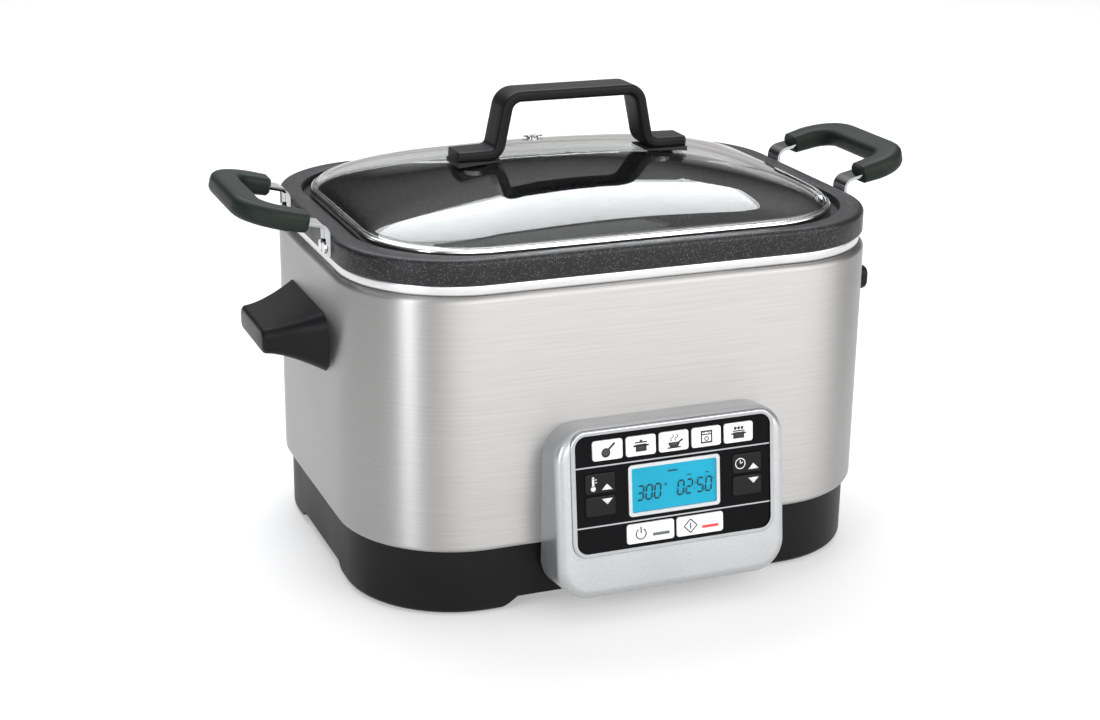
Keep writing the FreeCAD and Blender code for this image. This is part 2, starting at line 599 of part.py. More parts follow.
# Every key by name: its place on the face and its half sizes
KEYS = {}
for number, column in enumerate(range(-2, 3), start=1):
    KEYS[f"mode_key_{number}"] = (f"{column} * mode_pitch", "mode_y", "mode_half_x", "mode_half_y")
for name, side in (("temperature", "-"), ("time", "")):
    KEYS[f"{name}_up_key"] = (f"{side}arrow_x", "arrow_up_y", "arrow_half_x", "arrow_half_y")
    KEYS[f"{name}_down_key"] = (f"{side}arrow_x", "arrow_down_y", "arrow_half_x", "arrow_half_y")
KEYS["power_key"] = ("-main_x", "main_y", "main_half_x", "main_half_y")
KEYS["start_key"] = ("main_x", "main_y", "main_half_x", "main_half_y")
LCD_OUT_X, LCD_OUT_Y = "lcd_half_x + lcd_frame", "lcd_half_y + lcd_frame"


def make_frame():
    plain = panel_block("frame_plain", "frame_half_x", "frame_half_y", "frame_corner", "-fascia_thick",
                        "frame_proud")
    outside = fillet("frame_out", plain, "frame_edge", on_face("frame_proud"))
    inside = panel_block("frame_in", "frame_half_x - frame_width", "frame_half_y - frame_width",
                         "frame_corner - frame_width", "-fascia_thick - overshoot", "frame_proud + overshoot")
    return cut("frame", outside, inside)


def make_fascia():
    plate = panel_block("fascia_plate", "frame_half_x - frame_width - panel_gap",
                        "frame_half_y - frame_width - panel_gap",
                        "frame_corner - frame_width - panel_gap", "-fascia_thick", "0")
    holes = [panel_block(f"fascia_hole_{name}", f"{hx} + key_gap", f"{hy} + key_gap", "key_corner + key_gap",
                         "-fascia_thick - overshoot", "overshoot", x, y) for name,
             (x, y, hx, hy) in KEYS.items()]
    window = panel_block("fascia_window", f"{LCD_OUT_X} + panel_gap", f"{LCD_OUT_Y} + panel_gap",
                         "lcd_corner + lcd_frame / 2",
                         "-fascia_thick - overshoot", "overshoot", "0", "lcd_y")
    return cut("fascia", plate, window, *holes)


def make_key(name, x, y, half_x, half_y):
    """Cap, lip behind the fascia and a stem that enters its switch."""
    back = "-fascia_thick - key_rest"
    plain = panel_block(name + "_plain", half_x, half_y, "key_corner", back, "key_proud", x, y)
    cap = fillet(name + "_cap", plain, "key_edge", on_face("key_proud"))
    lip = panel_block(name + "_lip", f"{half_x} + key_lip", f"{half_y} + key_lip", "key_corner",
                      f"{back} - key_lip_thick",
                      back, x, y)
    stem = panel_pin(name + "_stem", "stem_radius", x, y, STEM_END, back)
    return fuse(name, cap, lip, stem)


STEM_END = f"{SWITCH_W} + switch_high - switch_bore_deep + key_travel + seat_gap"


def make_switches():
    switches = []
    for name, (x, y, _, _) in KEYS.items():
        body = panel_block(f"switch_{name}", "switch_half", "switch_half", "panel_gap", SWITCH_W,
                           f"{SWITCH_W} + switch_high",
                           x, y)
        bore = panel_pin(f"switch_bore_{name}", "switch_bore", x, y,
                         f"{SWITCH_W} + switch_high - switch_bore_deep",
                         f"{SWITCH_W} + switch_high + overshoot")
        switches.append(cut(f"switch_cut_{name}", body, bore))
    return group("switches", switches)


def make_display():
    step = "-fascia_thick - key_rest"
    holder = panel_block("display_holder", "lcd_half_x + lcd_frame / 2", "lcd_half_y + lcd_frame / 2",
                         "lcd_corner",
                         SWITCH_W, step, "0", "lcd_y")
    screen = panel_block("display_screen", "lcd_half_x - panel_gap", "lcd_half_y - panel_gap", "lcd_corner",
                         step,
                         "-lens_sink - lens_thick", "0", "lcd_y")
    return fuse("display", holder, screen)


def make_display_frame():
    outside = panel_block("display_frame_out", LCD_OUT_X, LCD_OUT_Y, "lcd_corner + lcd_frame / 2",
                          "-fascia_thick - key_rest",
                          "lcd_proud", "0", "lcd_y")
    inside = panel_block("display_frame_in", "lcd_half_x", "lcd_half_y", "lcd_corner",
                         "-fascia_thick - overshoot", "lcd_proud + overshoot",
                         "0", "lcd_y")
    return cut("display_surround", outside, inside)


def make_line(name, y):
    return panel_block(name, "frame_half_x - frame_width - 2 * panel_gap", "line_half_y", "panel_gap", "0",
                       "line_thick",
                       "0", y)


def make_light(name, key_x):
    return panel_block(name, "light_half_x", "light_half_y", "panel_gap", "key_proud",
                       "key_proud + light_thick",
                       f"{key_x} + light_x", "main_y + light_y")


node("panel_housing", make_housing())
node("panel_frame", make_frame())
node("panel_fascia", make_fascia())
node("panel_lines", group("lines", [make_line("line_upper", "line_upper_y"), make_line("line_lower",
                                                                                       "line_lower_y")]))
node("display_frame", make_display_frame())
node("display_lens", panel_block("lens", "lcd_half_x - panel_gap", "lcd_half_y - panel_gap", "lcd_corner",
                                 "-lens_sink - lens_thick", "-lens_sink", "0", "lcd_y"))
node("display_module", make_display())
node("control_board", panel_block("panel_board", f"{CAVITY_X} - slide_gap", f"{CAVITY_Y} - slide_gap",
                                  CAVITY_CORNER,
                                  BOARD_W, SWITCH_W))
node("key_switches", make_switches())
for key_name, key_sizes in KEYS.items():
    node(key_name, make_key(key_name + "_body", *key_sizes))
node("power_light_lens", make_light("power_light", "-main_x"))
node("start_light_lens", make_light("start_light", "main_x"))

# Cooking pot: a cast bowl hung from a broad collar with a ledge for the lid
COLLAR_LOW = RING_TOP
COLLAR_TOP = f"{COLLAR_LOW} + collar_high"
LEDGE = f"{COLLAR_TOP} - recess_deep"
BOWL_LOW = "well_floor + heater_thick"


def pot_section(name, inset, z):
    half_x, half_y, corner = (f"{size} - ({inset})" for size in ("mouth_half_x", "mouth_half_y",
                                                                 "mouth_corner"))
    return place(rounded_sketch(name, half_x, half_y, corner), "0", "0", z)


def make_pot():
    collar_plain = wrap_block("collar_plain", "collar_inset", COLLAR_LOW, COLLAR_TOP)
    collar = fillet("collar", collar_plain, "collar_edge", level(COLLAR_TOP))
    outer_plain = loft("bowl_outer_plain", [pot_section("bowl_out_low", "bowl_draft - bowl_wall", BOWL_LOW),
                                            pot_section("bowl_out_top", "-bowl_wall", LEDGE)])
    outer = fillet("bowl_outer", outer_plain, "bowl_round", level(BOWL_LOW))
    inner_plain = loft("bowl_inner_plain", [pot_section("bowl_in_low", "bowl_draft",
                                                        f"{BOWL_LOW} + bowl_wall"),
                                            pot_section("bowl_in_top", "0", f"{COLLAR_TOP} + overshoot")])
    inner = fillet("bowl_inner", inner_plain, "bowl_round - bowl_wall", level(f"{BOWL_LOW} + bowl_wall"))
    recess = block("lid_recess", "rim_half_x + recess_gap", "rim_half_y + recess_gap",
                   "rim_corner + recess_gap", LEDGE,
                   f"{COLLAR_TOP} + overshoot")
    return cut("pot", fuse("pot_solid", collar, outer), inner, recess,
               *rivet_cylinders("pot_rivet_hole", "rivet_shank"),
               *(mirror(hole.Name + "_left", hole) for hole in rivet_cylinders("pot_rivet_far",
                                                                               "rivet_shank")))


# Pot handles: bent straps riveted to the collar carry a U-shaped grip
STRAP_X = "wrap_half_x - collar_inset"
STRAP_LOW = f"{COLLAR_LOW} + strap_low"
STRAP_TOP = f"{STRAP_LOW} + strap_rise"
TILT = math.radians(value("strap_tilt"))


def rivet_cylinders(name, radius):
    """Right-hand rivet shanks, reaching from the strap into the collar."""
    return [cylinder_along(f"{name}_{i}", radius, Vector(1, 0, 0),
                           (f"{STRAP_X} - rivet_reach", f"{y} + {along} * rivet_pitch / 2",
                            f"{STRAP_LOW} + rivet_low"),
                           "rivet_reach + strap_thick")
            for i, (y, along) in enumerate((y, along) for y in ("-strap_y", "strap_y") for along in (-1, 1))]


def tilted(thing, along, y, above):
    """Place a piece in the plane of the handle, which rises outward from the bend of the strap."""
    thing.Placement = Placement(Vector(), Rotation(Vector(0, 1, 0), -value("strap_tilt")))
    return place(thing, f"{STRAP_X} + ({along}) * cos(strap_tilt) - ({above}) * sin(strap_tilt)", y,
                 f"{STRAP_TOP} + ({along}) * sin(strap_tilt) + ({above}) * cos(strap_tilt)")


def tilted_box(name, length, y0, y1, thick, along, above):
    thing = bind(add("Part::Box", name), Length=length, Width=f"({y1}) - ({y0})", Height=thick)
    return tilted(thing, along, y0, above)


def make_straps():
    straps = []
    for i, y in enumerate(("-strap_y", "strap_y")):
        y0, y1 = f"{y} - strap_half", f"{y} + strap_half"
        leg = box(f"strap_leg_{i}", STRAP_X, f"{STRAP_X} + strap_thick", y0, y1, STRAP_LOW, STRAP_TOP)
        tongue = tilted_box(f"strap_tongue_{i}", "strap_tongue", y0, y1, "strap_thick", "0", "-strap_thick")
        straps.append(fuse(f"strap_{i}", leg, tongue))
    return cut("straps", group("strap_pair", straps), *rivet_cylinders("strap_hole", "rivet_shank"))


def make_rivets():
    shanks = rivet_cylinders("rivet_shank", "rivet_shank")
    rivets = []
    for i, shank in enumerate(shanks):
        y = ("-strap_y", "strap_y")[i // 2]
        along = (-1, 1)[i % 2]
        head = cylinder_along(f"rivet_head_{i}", "rivet_radius", Vector(1, 0, 0),
                              (f"{STRAP_X} + strap_thick", f"{y} + {along} * rivet_pitch / 2",
                               f"{STRAP_LOW} + rivet_low"),
                              "rivet_head")
        rivets.append(fuse(f"rivet_{i}", shank, head))
    return group("rivets", rivets)


def make_grip(straps):
    """Outer rounded bar less the hand gap, with its edges softened and pockets for the straps."""
    half_x = "(bar_end - bar_start) / 2 + bar_corner / 2"
    above = "-strap_thick / 2 - bar_thick / 2"
    middle = "(bar_end + bar_start) / 2 - bar_corner / 2"
    outline = tilted(rounded_sketch("bar_outline", half_x, "bar_half_y", "bar_corner"), middle, "0", above)
    solid = extrude("bar_solid", outline, "bar_thick")
    gap_outline = tilted(rounded_sketch("bar_gap_outline", half_x, "bar_half_y - arm_width",
                                        "bar_corner - bar_width / 2"),
                         f"{middle} - bar_width", "0", above)
    gap = extrude("bar_gap", gap_outline, "bar_thick")
    trim = tilted_box("bar_trim", "2 * bar_end", "-2 * bar_half_y", "2 * bar_half_y", "4 * bar_thick",
                      "bar_start - 2 * bar_end", "-2 * bar_thick")
    plain = cut("bar_plain", solid, gap, trim)
    rise = Vector(-math.sin(TILT), 0, math.cos(TILT))
    start = Vector(value(STRAP_X), 0, value(STRAP_TOP))
    heights = [value(above), value(f"{above} + bar_thick")]

    def on_skin(edge):
        return any(all(abs((v.Point - start).dot(rise) - h) < 1e-3 for v in edge.Vertexes) for h in heights)

    soft = fillet("bar_soft", plain, "bar_edge", on_skin)
    return cut("bar", soft, straps)


node("cooking_pot", make_pot())
right_straps = make_straps()
right_rivets = make_rivets()
right_bar = make_grip(right_straps)
node("pot_bracket_right", right_straps)
node("pot_rivets_right", right_rivets)
node("pot_grip_right", right_bar)
for piece, source in (("pot_bracket", right_straps), ("pot_rivets", right_rivets), ("pot_grip", right_bar)):
    node(piece + "_left", mirror(piece + "_mirrored", source))

# Lid: a domed glass in a steel rim, with a strap handle screwed through it
RIM_LOW = LEDGE
GLASS_LOW = f"{RIM_LOW} + glass_seat"
# Shares of the outline and of the rise along the dome, from the skirt to the crown
DOME = [(1.0, 0.0), (0.94, 0.24), (0.82, 0.53), (0.62, 0.79), (0.36, 0.94), (0.08, 1.0)]


def make_dome(name, inset, drop):
    """Solid under the glass's outer face, or under its inner face when set in and dropped."""
    half_x = f"rim_half_x - glass_inset - ({inset})"
    half_y = f"rim_half_y - glass_inset - ({inset})"
    corner = f"rim_corner - glass_inset - ({inset})"
    foot = f"{GLASS_LOW} + glass_skirt - ({drop})"
    sections = [place(rounded_sketch(f"{name}_{i}", f"({half_x}) * {share}", f"({half_y}) * {share}",
                                     f"({corner}) * {share}"),
                      "0", "0", f"{foot} + glass_rise * {rise}") for i, (share, rise) in enumerate(DOME)]
    dome = loft(name + "_dome", sections)
    skirt = block(name + "_skirt", half_x, half_y, corner, f"{GLASS_LOW} - ({drop})", foot)
    return fuse(name, skirt, dome)


def knob_cylinders(name, radius, z0, z1):
    return [cylinder(f"{name}_{i}", radius, f"{side} * knob_screw_x", "0", z0, z1) for i,
            side in enumerate((-1, 1))]


KNOB_SCREW_TOP = "knob_base + knob_screw_reach"
WASHER_LOW = "knob_base - glass_thick - washer_low"


def make_glass(dome, under):
    vent = cylinder("glass_vent_hole", "vent_radius", "0", "vent_y", "wrap_top", "knob_top")
    return cut("glass", dome, under, vent, *knob_cylinders("glass_hole", "knob_screw + seat_gap",
                                                           "wrap_top", "knob_top"))


def make_rim(dome):
    plain = block("rim_plain", "rim_half_x", "rim_half_y", "rim_corner", RIM_LOW, f"{RIM_LOW} + rim_high")
    outside = fillet("rim_out", plain, "rim_edge", level(f"{RIM_LOW} + rim_high"))
    inside = block("rim_in", "rim_half_x - rim_width", "rim_half_y - rim_width", "rim_corner - rim_width",
                   f"{RIM_LOW} - overshoot",
                   f"{RIM_LOW} + rim_high + overshoot")
    return cut("rim", outside, inside, dome)


def make_knob():
    slope = "knob_foot_in + knob_thick"
    outer = [("-knob_foot_out", "knob_base"), ("-knob_foot_out", "knob_base + knob_thick * 0.7"),
             (f"-({slope})", "knob_base + knob_thick"), ("-knob_top_half - knob_thick / 2", "knob_top"),
             ("knob_top_half + knob_thick / 2", "knob_top"), (slope, "knob_base + knob_thick"),
             ("knob_foot_out", "knob_base + knob_thick * 0.7"), ("knob_foot_out", "knob_base")]
    inner = [("knob_foot_in", "knob_base"), ("knob_top_half - knob_thick / 2", "knob_top - knob_thick"),
             ("-knob_top_half + knob_thick / 2", "knob_top - knob_thick"), ("-knob_foot_in", "knob_base")]
    plain = profile("knob_plain", outer + inner, "-knob_half_y", "knob_half_y")
    crown = value("knob_top - knob_thick / 2")
    bend = value("knob_base + 2 * knob_thick")

    def upper_bend(edge, outside):
        bounds = edge.BoundBox
        high = bounds.ZMin > (crown if outside else bend)
        return bounds.YLength > 1 and bounds.XLength < 1e-3 and high and (bounds.ZMin > crown) == outside

    bent = fillet("knob_bent", plain, "knob_round", lambda edge: upper_bend(edge, True))
    curved = fillet("knob_curved", bent, "knob_round - knob_thick * 0.7",
                    lambda edge: upper_bend(edge, False))
    side = value("knob_half_y")

    def on_side(edge):
        return edge.BoundBox.YLength < 1e-3 and abs(abs(edge.BoundBox.YMin) - side) < 1e-3

    soft = fillet("knob_soft", curved, "knob_edge", on_side)
    return cut("knob", soft, *knob_cylinders("knob_hole", "knob_screw", "knob_base - overshoot",
                                             KNOB_SCREW_TOP))


def make_gaskets(dome):
    """Soft pads that fill the wedge between the handle's feet and the curved glass."""
    pads = []
    for i, (x0, x1) in enumerate((("-knob_foot_out", "-knob_foot_in"), ("knob_foot_in", "knob_foot_out"))):
        pads.append(box(f"gasket_{i}", x0, x1, "-knob_half_y", "knob_half_y", WASHER_LOW, "knob_base"))
    return cut("gaskets", group("gasket_pair", pads), dome,
               *knob_cylinders("gasket_hole", "knob_screw + seat_gap", "wrap_top", "knob_top"))


def make_washers(under):
    discs = group("washer_discs", knob_cylinders("washer", "washer_radius", WASHER_LOW, "knob_base"))
    holes = group("washer_holes", knob_cylinders("washer_hole", "knob_screw + seat_gap", "wrap_top",
                                                 "knob_top"))
    return cut("washers", common("washer_wedges", discs, under), holes)


def make_knob_screws():
    heads = knob_cylinders("knob_head", "knob_screw_head", f"{WASHER_LOW} - 2 * head_thick", WASHER_LOW)
    shanks = knob_cylinders("knob_shank", "knob_screw", WASHER_LOW, KNOB_SCREW_TOP)
    return group("knob_screws", [fuse(f"knob_screw_{i}", *pair) for i, pair in enumerate(zip(heads, shanks))])


def make_vent(dome, raised, under):
    """Steel eyelet through the glass with a thin flange that follows its curve."""
    tube = cylinder("vent_tube", "vent_radius", "0", "vent_y", "wrap_top", "knob_top")
    disc = cylinder("vent_disc", "vent_flange", "0", "vent_y", "wrap_top", "knob_top")
    sleeve = cut("vent_sleeve", common("vent_plug", tube, raised), under)
    flange = cut("vent_lip", common("vent_cap", disc, raised), dome)
    bore = cylinder("vent_hole", "vent_bore", "0", "vent_y", "wrap_top", "knob_top")
    return cut("vent", fuse("vent_body", sleeve, flange), bore)


outer_dome = make_dome("glass_outside", "0", "0")
inner_dome = make_dome("glass_inside", "glass_thick * 0.9", "glass_thick")
raised_dome = make_dome("vent_raised", "0", "-vent_flange_thick")
node("lid_glass", make_glass(outer_dome, inner_dome))
node("lid_rim", make_rim(outer_dome))
node("lid_handle", make_knob())
node("lid_gaskets", make_gaskets(outer_dome))
node("lid_washers", make_washers(inner_dome))
node("lid_screws", make_knob_screws())
node("vent_eyelet", make_vent(outer_dome, raised_dome, inner_dome))

# Recompute, check every object and write one file for each piece
doc.recompute()
failed = [thing.Label for thing in doc.Objects if {"Invalid", "Error"} & set(thing.State)]
if failed:
    raise RuntimeError(f"failed objects: {failed}")
os.makedirs("parts", exist_ok=True)
for name, thing in NODES.items():
    shape = thing.Shape
    if shape.isNull() or not shape.isValid() or not shape.Solids:
        raise RuntimeError(f"bad shape: {name}")
    print(f"{name}: {len(shape.Solids)} solids, {sum(s.Volume for s in shape.Solids):.1f} mm3")
# The origin lies on the table under the middle of the outer box
outlines = [thing.Shape.optimalBoundingBox() for thing in NODES.values()]
middle_y = (min(outline.YMin for outline in outlines) + max(outline.YMax for outline in outlines)) / 2
for name, thing in NODES.items():
    thing.Shape.translated(Vector(0, -middle_y, 0)).exportStep(f"parts/{name}.step")
print(f"middle of the outer box was at y {middle_y:.4f}")
print(f"{len(NODES)} pieces written")
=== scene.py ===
# Studio scene of a digital slow cooker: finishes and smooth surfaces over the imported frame.
import json
import math
import bmesh
import bpy
import numpy as np
from mathutils import Matrix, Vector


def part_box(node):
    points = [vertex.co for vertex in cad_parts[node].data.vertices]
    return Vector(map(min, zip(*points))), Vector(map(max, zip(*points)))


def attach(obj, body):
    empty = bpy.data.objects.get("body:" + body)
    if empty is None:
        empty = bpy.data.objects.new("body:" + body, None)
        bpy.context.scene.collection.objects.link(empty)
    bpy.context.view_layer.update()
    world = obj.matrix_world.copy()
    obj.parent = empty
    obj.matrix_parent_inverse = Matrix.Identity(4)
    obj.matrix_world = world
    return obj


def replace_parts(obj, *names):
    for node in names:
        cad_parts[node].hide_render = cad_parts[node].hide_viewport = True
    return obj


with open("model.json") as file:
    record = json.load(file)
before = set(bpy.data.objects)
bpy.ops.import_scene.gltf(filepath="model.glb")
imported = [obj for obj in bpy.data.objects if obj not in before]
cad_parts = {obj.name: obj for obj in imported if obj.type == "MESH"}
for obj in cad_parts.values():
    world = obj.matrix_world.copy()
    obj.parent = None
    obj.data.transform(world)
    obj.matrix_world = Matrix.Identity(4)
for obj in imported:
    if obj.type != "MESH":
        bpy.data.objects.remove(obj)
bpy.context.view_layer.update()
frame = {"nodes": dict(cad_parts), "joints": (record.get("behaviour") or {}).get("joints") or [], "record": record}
MM = 0.001
NODES = frame["nodes"]
BODY_OF = {node: body for body, members in frame["record"]["behaviour"]["bodies"].items() for node in members}
SLOT_OF = {entry["node"]: entry["material_slot"] for entry in frame["record"]["subparts"]}
# The body's vertical middle plane stands a little behind the frame's origin
BODY_MIDDLE = np.array([0.0, sum(corner.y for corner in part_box("cooking_pot")) / 2, 0.0])


# Camera at the photograph's viewing angle
VIEW_AZIMUTH = math.radians(-21.91)
VIEW_ELEVATION = math.radians(18.98)
VIEW_ROLL = math.radians(0.75)
VIEW_DISTANCE = 1219.6 * MM
VIEW_SIDE = -9.39 * MM
VIEW_HEIGHT = 101.55 * MM
PHOTO_WIDTH = 1100
FOCAL_PIXELS = 1972.85
SENSOR = 36.0


def stance(right, up, back, place):
    """Matrix of a camera or light from its three axes and its place."""
    matrix = np.eye(4)
    matrix[:3] = np.stack((right, up, back, place), -1)
    return Matrix(matrix.tolist())


def photo_camera():
    """Camera from the direction of the photograph, turned by its small roll."""
    a, e, roll = VIEW_AZIMUTH, VIEW_ELEVATION, VIEW_ROLL
    back = np.array([math.sin(a) * math.cos(e), -math.cos(a) * math.cos(e), math.sin(e)])
    across = np.array([math.cos(a), math.sin(a), 0.0])
    above = np.cross(back, across)
    right = across * math.cos(roll) + above * math.sin(roll)
    up = above * math.cos(roll) - across * math.sin(roll)
    place = BODY_MIDDLE + across * VIEW_SIDE + np.array([0, 0, VIEW_HEIGHT]) + back * VIEW_DISTANCE
    data = bpy.data.cameras.new("photo_camera")
    data.sensor_width = SENSOR
    data.lens = FOCAL_PIXELS / PHOTO_WIDTH * SENSOR
    camera = bpy.data.objects.new("photo_camera", data)
    bpy.context.scene.collection.objects.link(camera)
    camera.matrix_world = stance(right, up, back, place)
    bpy.context.scene.camera = camera


# Node helpers for procedural finishes
class Finish:
    """A material with its shader, and short calls that add nodes to it."""

    def __init__(self, name, colour, roughness, metallic=0.0, **sockets):
        self.material = bpy.data.materials.new(name)
        self.material.use_nodes = True
        self.tree = self.material.node_tree
        self.shader = self.tree.nodes["Principled BSDF"]
        self.set("Base Color", (*colour, 1.0))
        self.set("Roughness", roughness)
        self.set("Metallic", metallic)
        for socket, value in sockets.items():
            self.set(socket.replace("_", " "), value)

    def set(self, socket, value):
        self.shader.inputs[socket].default_value = value

    def node(self, kind, **settings):
        node = self.tree.nodes.new(kind)
        for key, value in settings.items():
            setattr(node, key, value)
        return node

    def link(self, source, target):
        self.tree.links.new(source, target)

    def coordinates(self, scale=(1, 1, 1)):
        """Object coordinates stretched by a scale for each axis."""
        place = self.node("ShaderNodeTexCoord")
        stretch = self.node("ShaderNodeMapping")
        stretch.inputs["Scale"].default_value = scale
        self.link(place.outputs["Object"], stretch.inputs["Vector"])
        return stretch.outputs["Vector"]

    def noise(self, scale, stretch=(1, 1, 1), detail=3.0):
        texture = self.node("ShaderNodeTexNoise")
        texture.inputs["Scale"].default_value = scale
        texture.inputs["Detail"].default_value = detail
        self.link(self.coordinates(stretch), texture.inputs["Vector"])
        return texture.outputs["Fac"]

    def spread(self, source, low, high, start=0.3, end=0.7):
        """Map a texture's range to a range of values."""
        ramp = self.node("ShaderNodeMapRange")
        for socket, value in (("From Min", start), ("From Max", end), ("To Min", low), ("To Max", high)):
            ramp.inputs[socket].default_value = value
        self.link(source, ramp.inputs["Value"])
        return ramp.outputs["Result"]

    def blend(self, source, first, second, start=0.3, end=0.7):
        """Colour that runs from first to second as the texture rises."""
        ramp = self.node("ShaderNodeValToRGB")
        ramp.color_ramp.elements[0].position = start
        ramp.color_ramp.elements[1].position = end
        ramp.color_ramp.elements[0].color = (*first, 1.0)
        ramp.color_ramp.elements[1].color = (*second, 1.0)
        self.link(source, ramp.inputs["Fac"])
        self.link(ramp.outputs["Color"], self.shader.inputs["Base Color"])

    def rough(self, source, low, high):
        self.link(self.spread(source, low, high), self.shader.inputs["Roughness"])

    def bump(self, source, depth, strength=1.0):
        bump = self.node("ShaderNodeBump")
        bump.inputs["Distance"].default_value = depth
        bump.inputs["Strength"].default_value = strength
        self.link(source, bump.inputs["Height"])
        self.link(bump.outputs["Normal"], self.shader.inputs["Normal"])


# Finishes, one function for each
METAL = 1.0
STEEL_MIDDLE = (0.41, 0.405, 0.4)
STEEL_DARK = (0.37, 0.365, 0.36)
STEEL_LIGHT = (0.46, 0.455, 0.45)
STEEL_SHEEN = 0.45
STEEL_ROUGH = (0.4, 0.5)
STEEL_DRAWN = 0.85
QUARTER_TURN = 0.25
STREAK_SCALE = 40.0
STREAK_RUN = (0.6, 0.6, 60.0)
STREAK_DETAIL = 5.0
STREAK_SPAN = (0.25, 0.75)
STREAK_DEPTH = 0.02 * MM
STREAK_STRENGTH = 0.35


def brushed_wrap():
    """Stainless sheet brushed along the level: fine streaks in height, long in plan."""
    steel = Finish("brushed_stainless", STEEL_MIDDLE, STEEL_SHEEN, METAL)
    steel.set("Anisotropic", STEEL_DRAWN)
    steel.set("Anisotropic Rotation", QUARTER_TURN)
    tangent = steel.node("ShaderNodeTangent", direction_type="RADIAL", axis="Z")
    steel.link(tangent.outputs["Tangent"], steel.shader.inputs["Tangent"])
    streaks = steel.noise(STREAK_SCALE, STREAK_RUN, STREAK_DETAIL)
    steel.blend(streaks, STEEL_DARK, STEEL_LIGHT, *STREAK_SPAN)
    steel.rough(streaks, *STEEL_ROUGH)
    steel.bump(streaks, STREAK_DEPTH, STREAK_STRENGTH)
    return steel.material


PLASTIC_SHINE = 0.15
PLASTIC_GRAIN = 900.0
PLASTIC_DEPTH = 0.03 * MM
PLASTIC_STRENGTH = 0.5
SHEEN_PATCHES = 14.0
SHADE_PATCHES = 30.0
SHADE_GAIN = 1.25
SHADE_LIFT = 0.001


def moulded_plastic(name, colour, low, high, grain=PLASTIC_GRAIN):
    """Moulded plastic with a fine spark-eroded grain and slow changes of sheen."""
    plastic = Finish(name, colour, (low + high) / 2, Specular_IOR_Level=PLASTIC_SHINE)
    plastic.rough(plastic.noise(SHEEN_PATCHES), low, high)
    plastic.bump(plastic.noise(grain, detail=2.0), PLASTIC_DEPTH, PLASTIC_STRENGTH)
    lifted = tuple(part * SHADE_GAIN + SHADE_LIFT for part in colour)
    plastic.blend(plastic.noise(SHADE_PATCHES), colour, lifted)
    return plastic.material


COAT_DARK = (0.006, 0.006, 0.0065)
COAT_FLECK = (0.14, 0.14, 0.145)
COAT_SHEEN = 0.42
COAT_ROUGH = (0.36, 0.48)
COAT_SHINE = 0.3
COAT_PATCHES = 60.0
COAT_GRAIN = 700.0
COAT_DEPTH = 0.04 * MM
COAT_STRENGTH = 0.6
FLECK_SCALE = 1050.0
FLECK_SPAN = (0.08, 0.34)
FLECK_EDGE = (0.1, 0.9)
CLUSTER_SCALE = 420.0
CLUSTER_SPAN = (0.3, 0.5)


def speckled_coating():
    """Dark non-stick coating with fine pale flecks: cell middles, kept where a slow noise is high."""
    coat = Finish("speckled_coating", COAT_DARK, COAT_SHEEN, Specular_IOR_Level=COAT_SHINE)
    cells = coat.node("ShaderNodeTexVoronoi")
    cells.inputs["Scale"].default_value = FLECK_SCALE
    coat.link(coat.coordinates(), cells.inputs["Vector"])
    flecks = coat.spread(cells.outputs["Distance"], 1.0, 0.0, *FLECK_SPAN)
    sparse = coat.node("ShaderNodeMath", operation="MULTIPLY")
    coat.link(flecks, sparse.inputs[0])
    coat.link(coat.spread(coat.noise(CLUSTER_SCALE), 0.0, 1.0, *CLUSTER_SPAN), sparse.inputs[1])
    coat.blend(sparse.outputs["Value"], COAT_DARK, COAT_FLECK, *FLECK_EDGE)
    coat.rough(coat.noise(COAT_PATCHES), *COAT_ROUGH)
    coat.bump(coat.noise(COAT_GRAIN), COAT_DEPTH, COAT_STRENGTH)
    return coat.material


METAL_GRAIN = 120.0
METAL_DETAIL = 4.0
METAL_SHADE = 0.92
METAL_DEPTH = 0.01 * MM
METAL_STRENGTH = 0.3


def bright_metal(name, colour, low, high, stretch=(1, 1, 1)):
    """Plain metal with a faint rolled or polished grain."""
    metal = Finish(name, colour, (low + high) / 2, METAL)
    grain = metal.noise(METAL_GRAIN, stretch, METAL_DETAIL)
    metal.rough(grain, low, high)
    metal.blend(grain, tuple(part * METAL_SHADE for part in colour), colour)
    metal.bump(grain, METAL_DEPTH, METAL_STRENGTH)
    return metal.material


LACQUER_SHEEN = 0.34
LACQUER_METAL = 0.75
LACQUER_CLEAR = 0.25
LACQUER_CLEAR_ROUGH = 0.25
LACQUER_ROUGH = (0.3, 0.4)
LACQUER_PATCHES = 40.0
FLAKE_SCALE = 2200.0
FLAKE_DARK = 0.86
FLAKE_LIGHT = 1.1
FLAKE_DEPTH = 0.01 * MM
FLAKE_STRENGTH = 0.25


def silver_lacquer(name, colour):
    """Silver lacquer on plastic: metal flake under a soft clear coat."""
    lacquer = Finish(name, colour, LACQUER_SHEEN, LACQUER_METAL)
    lacquer.set("Coat Weight", LACQUER_CLEAR)
    lacquer.set("Coat Roughness", LACQUER_CLEAR_ROUGH)
    flake = lacquer.noise(FLAKE_SCALE, detail=1.0)
    dark, light = (tuple(part * gain for part in colour) for gain in (FLAKE_DARK, FLAKE_LIGHT))
    lacquer.blend(flake, dark, light)
    lacquer.rough(lacquer.noise(LACQUER_PATCHES), *LACQUER_ROUGH)
    lacquer.bump(flake, FLAKE_DEPTH, FLAKE_STRENGTH)
    return lacquer.material


GLOSS_BLACK = (0.003, 0.003, 0.0035)
GLOSS_SHEEN = 0.08
GLOSS_SHINE = 0.06
GLOSS_CLEAR = 0.03
GLOSS_CLEAR_ROUGH = 0.03
GLOSS_ROUGH = (0.06, 0.12)
GLOSS_PATCHES = 25.0
RIPPLE_SCALE = 90.0
RIPPLE_DEPTH = 0.02 * MM
RIPPLE_STRENGTH = 0.15


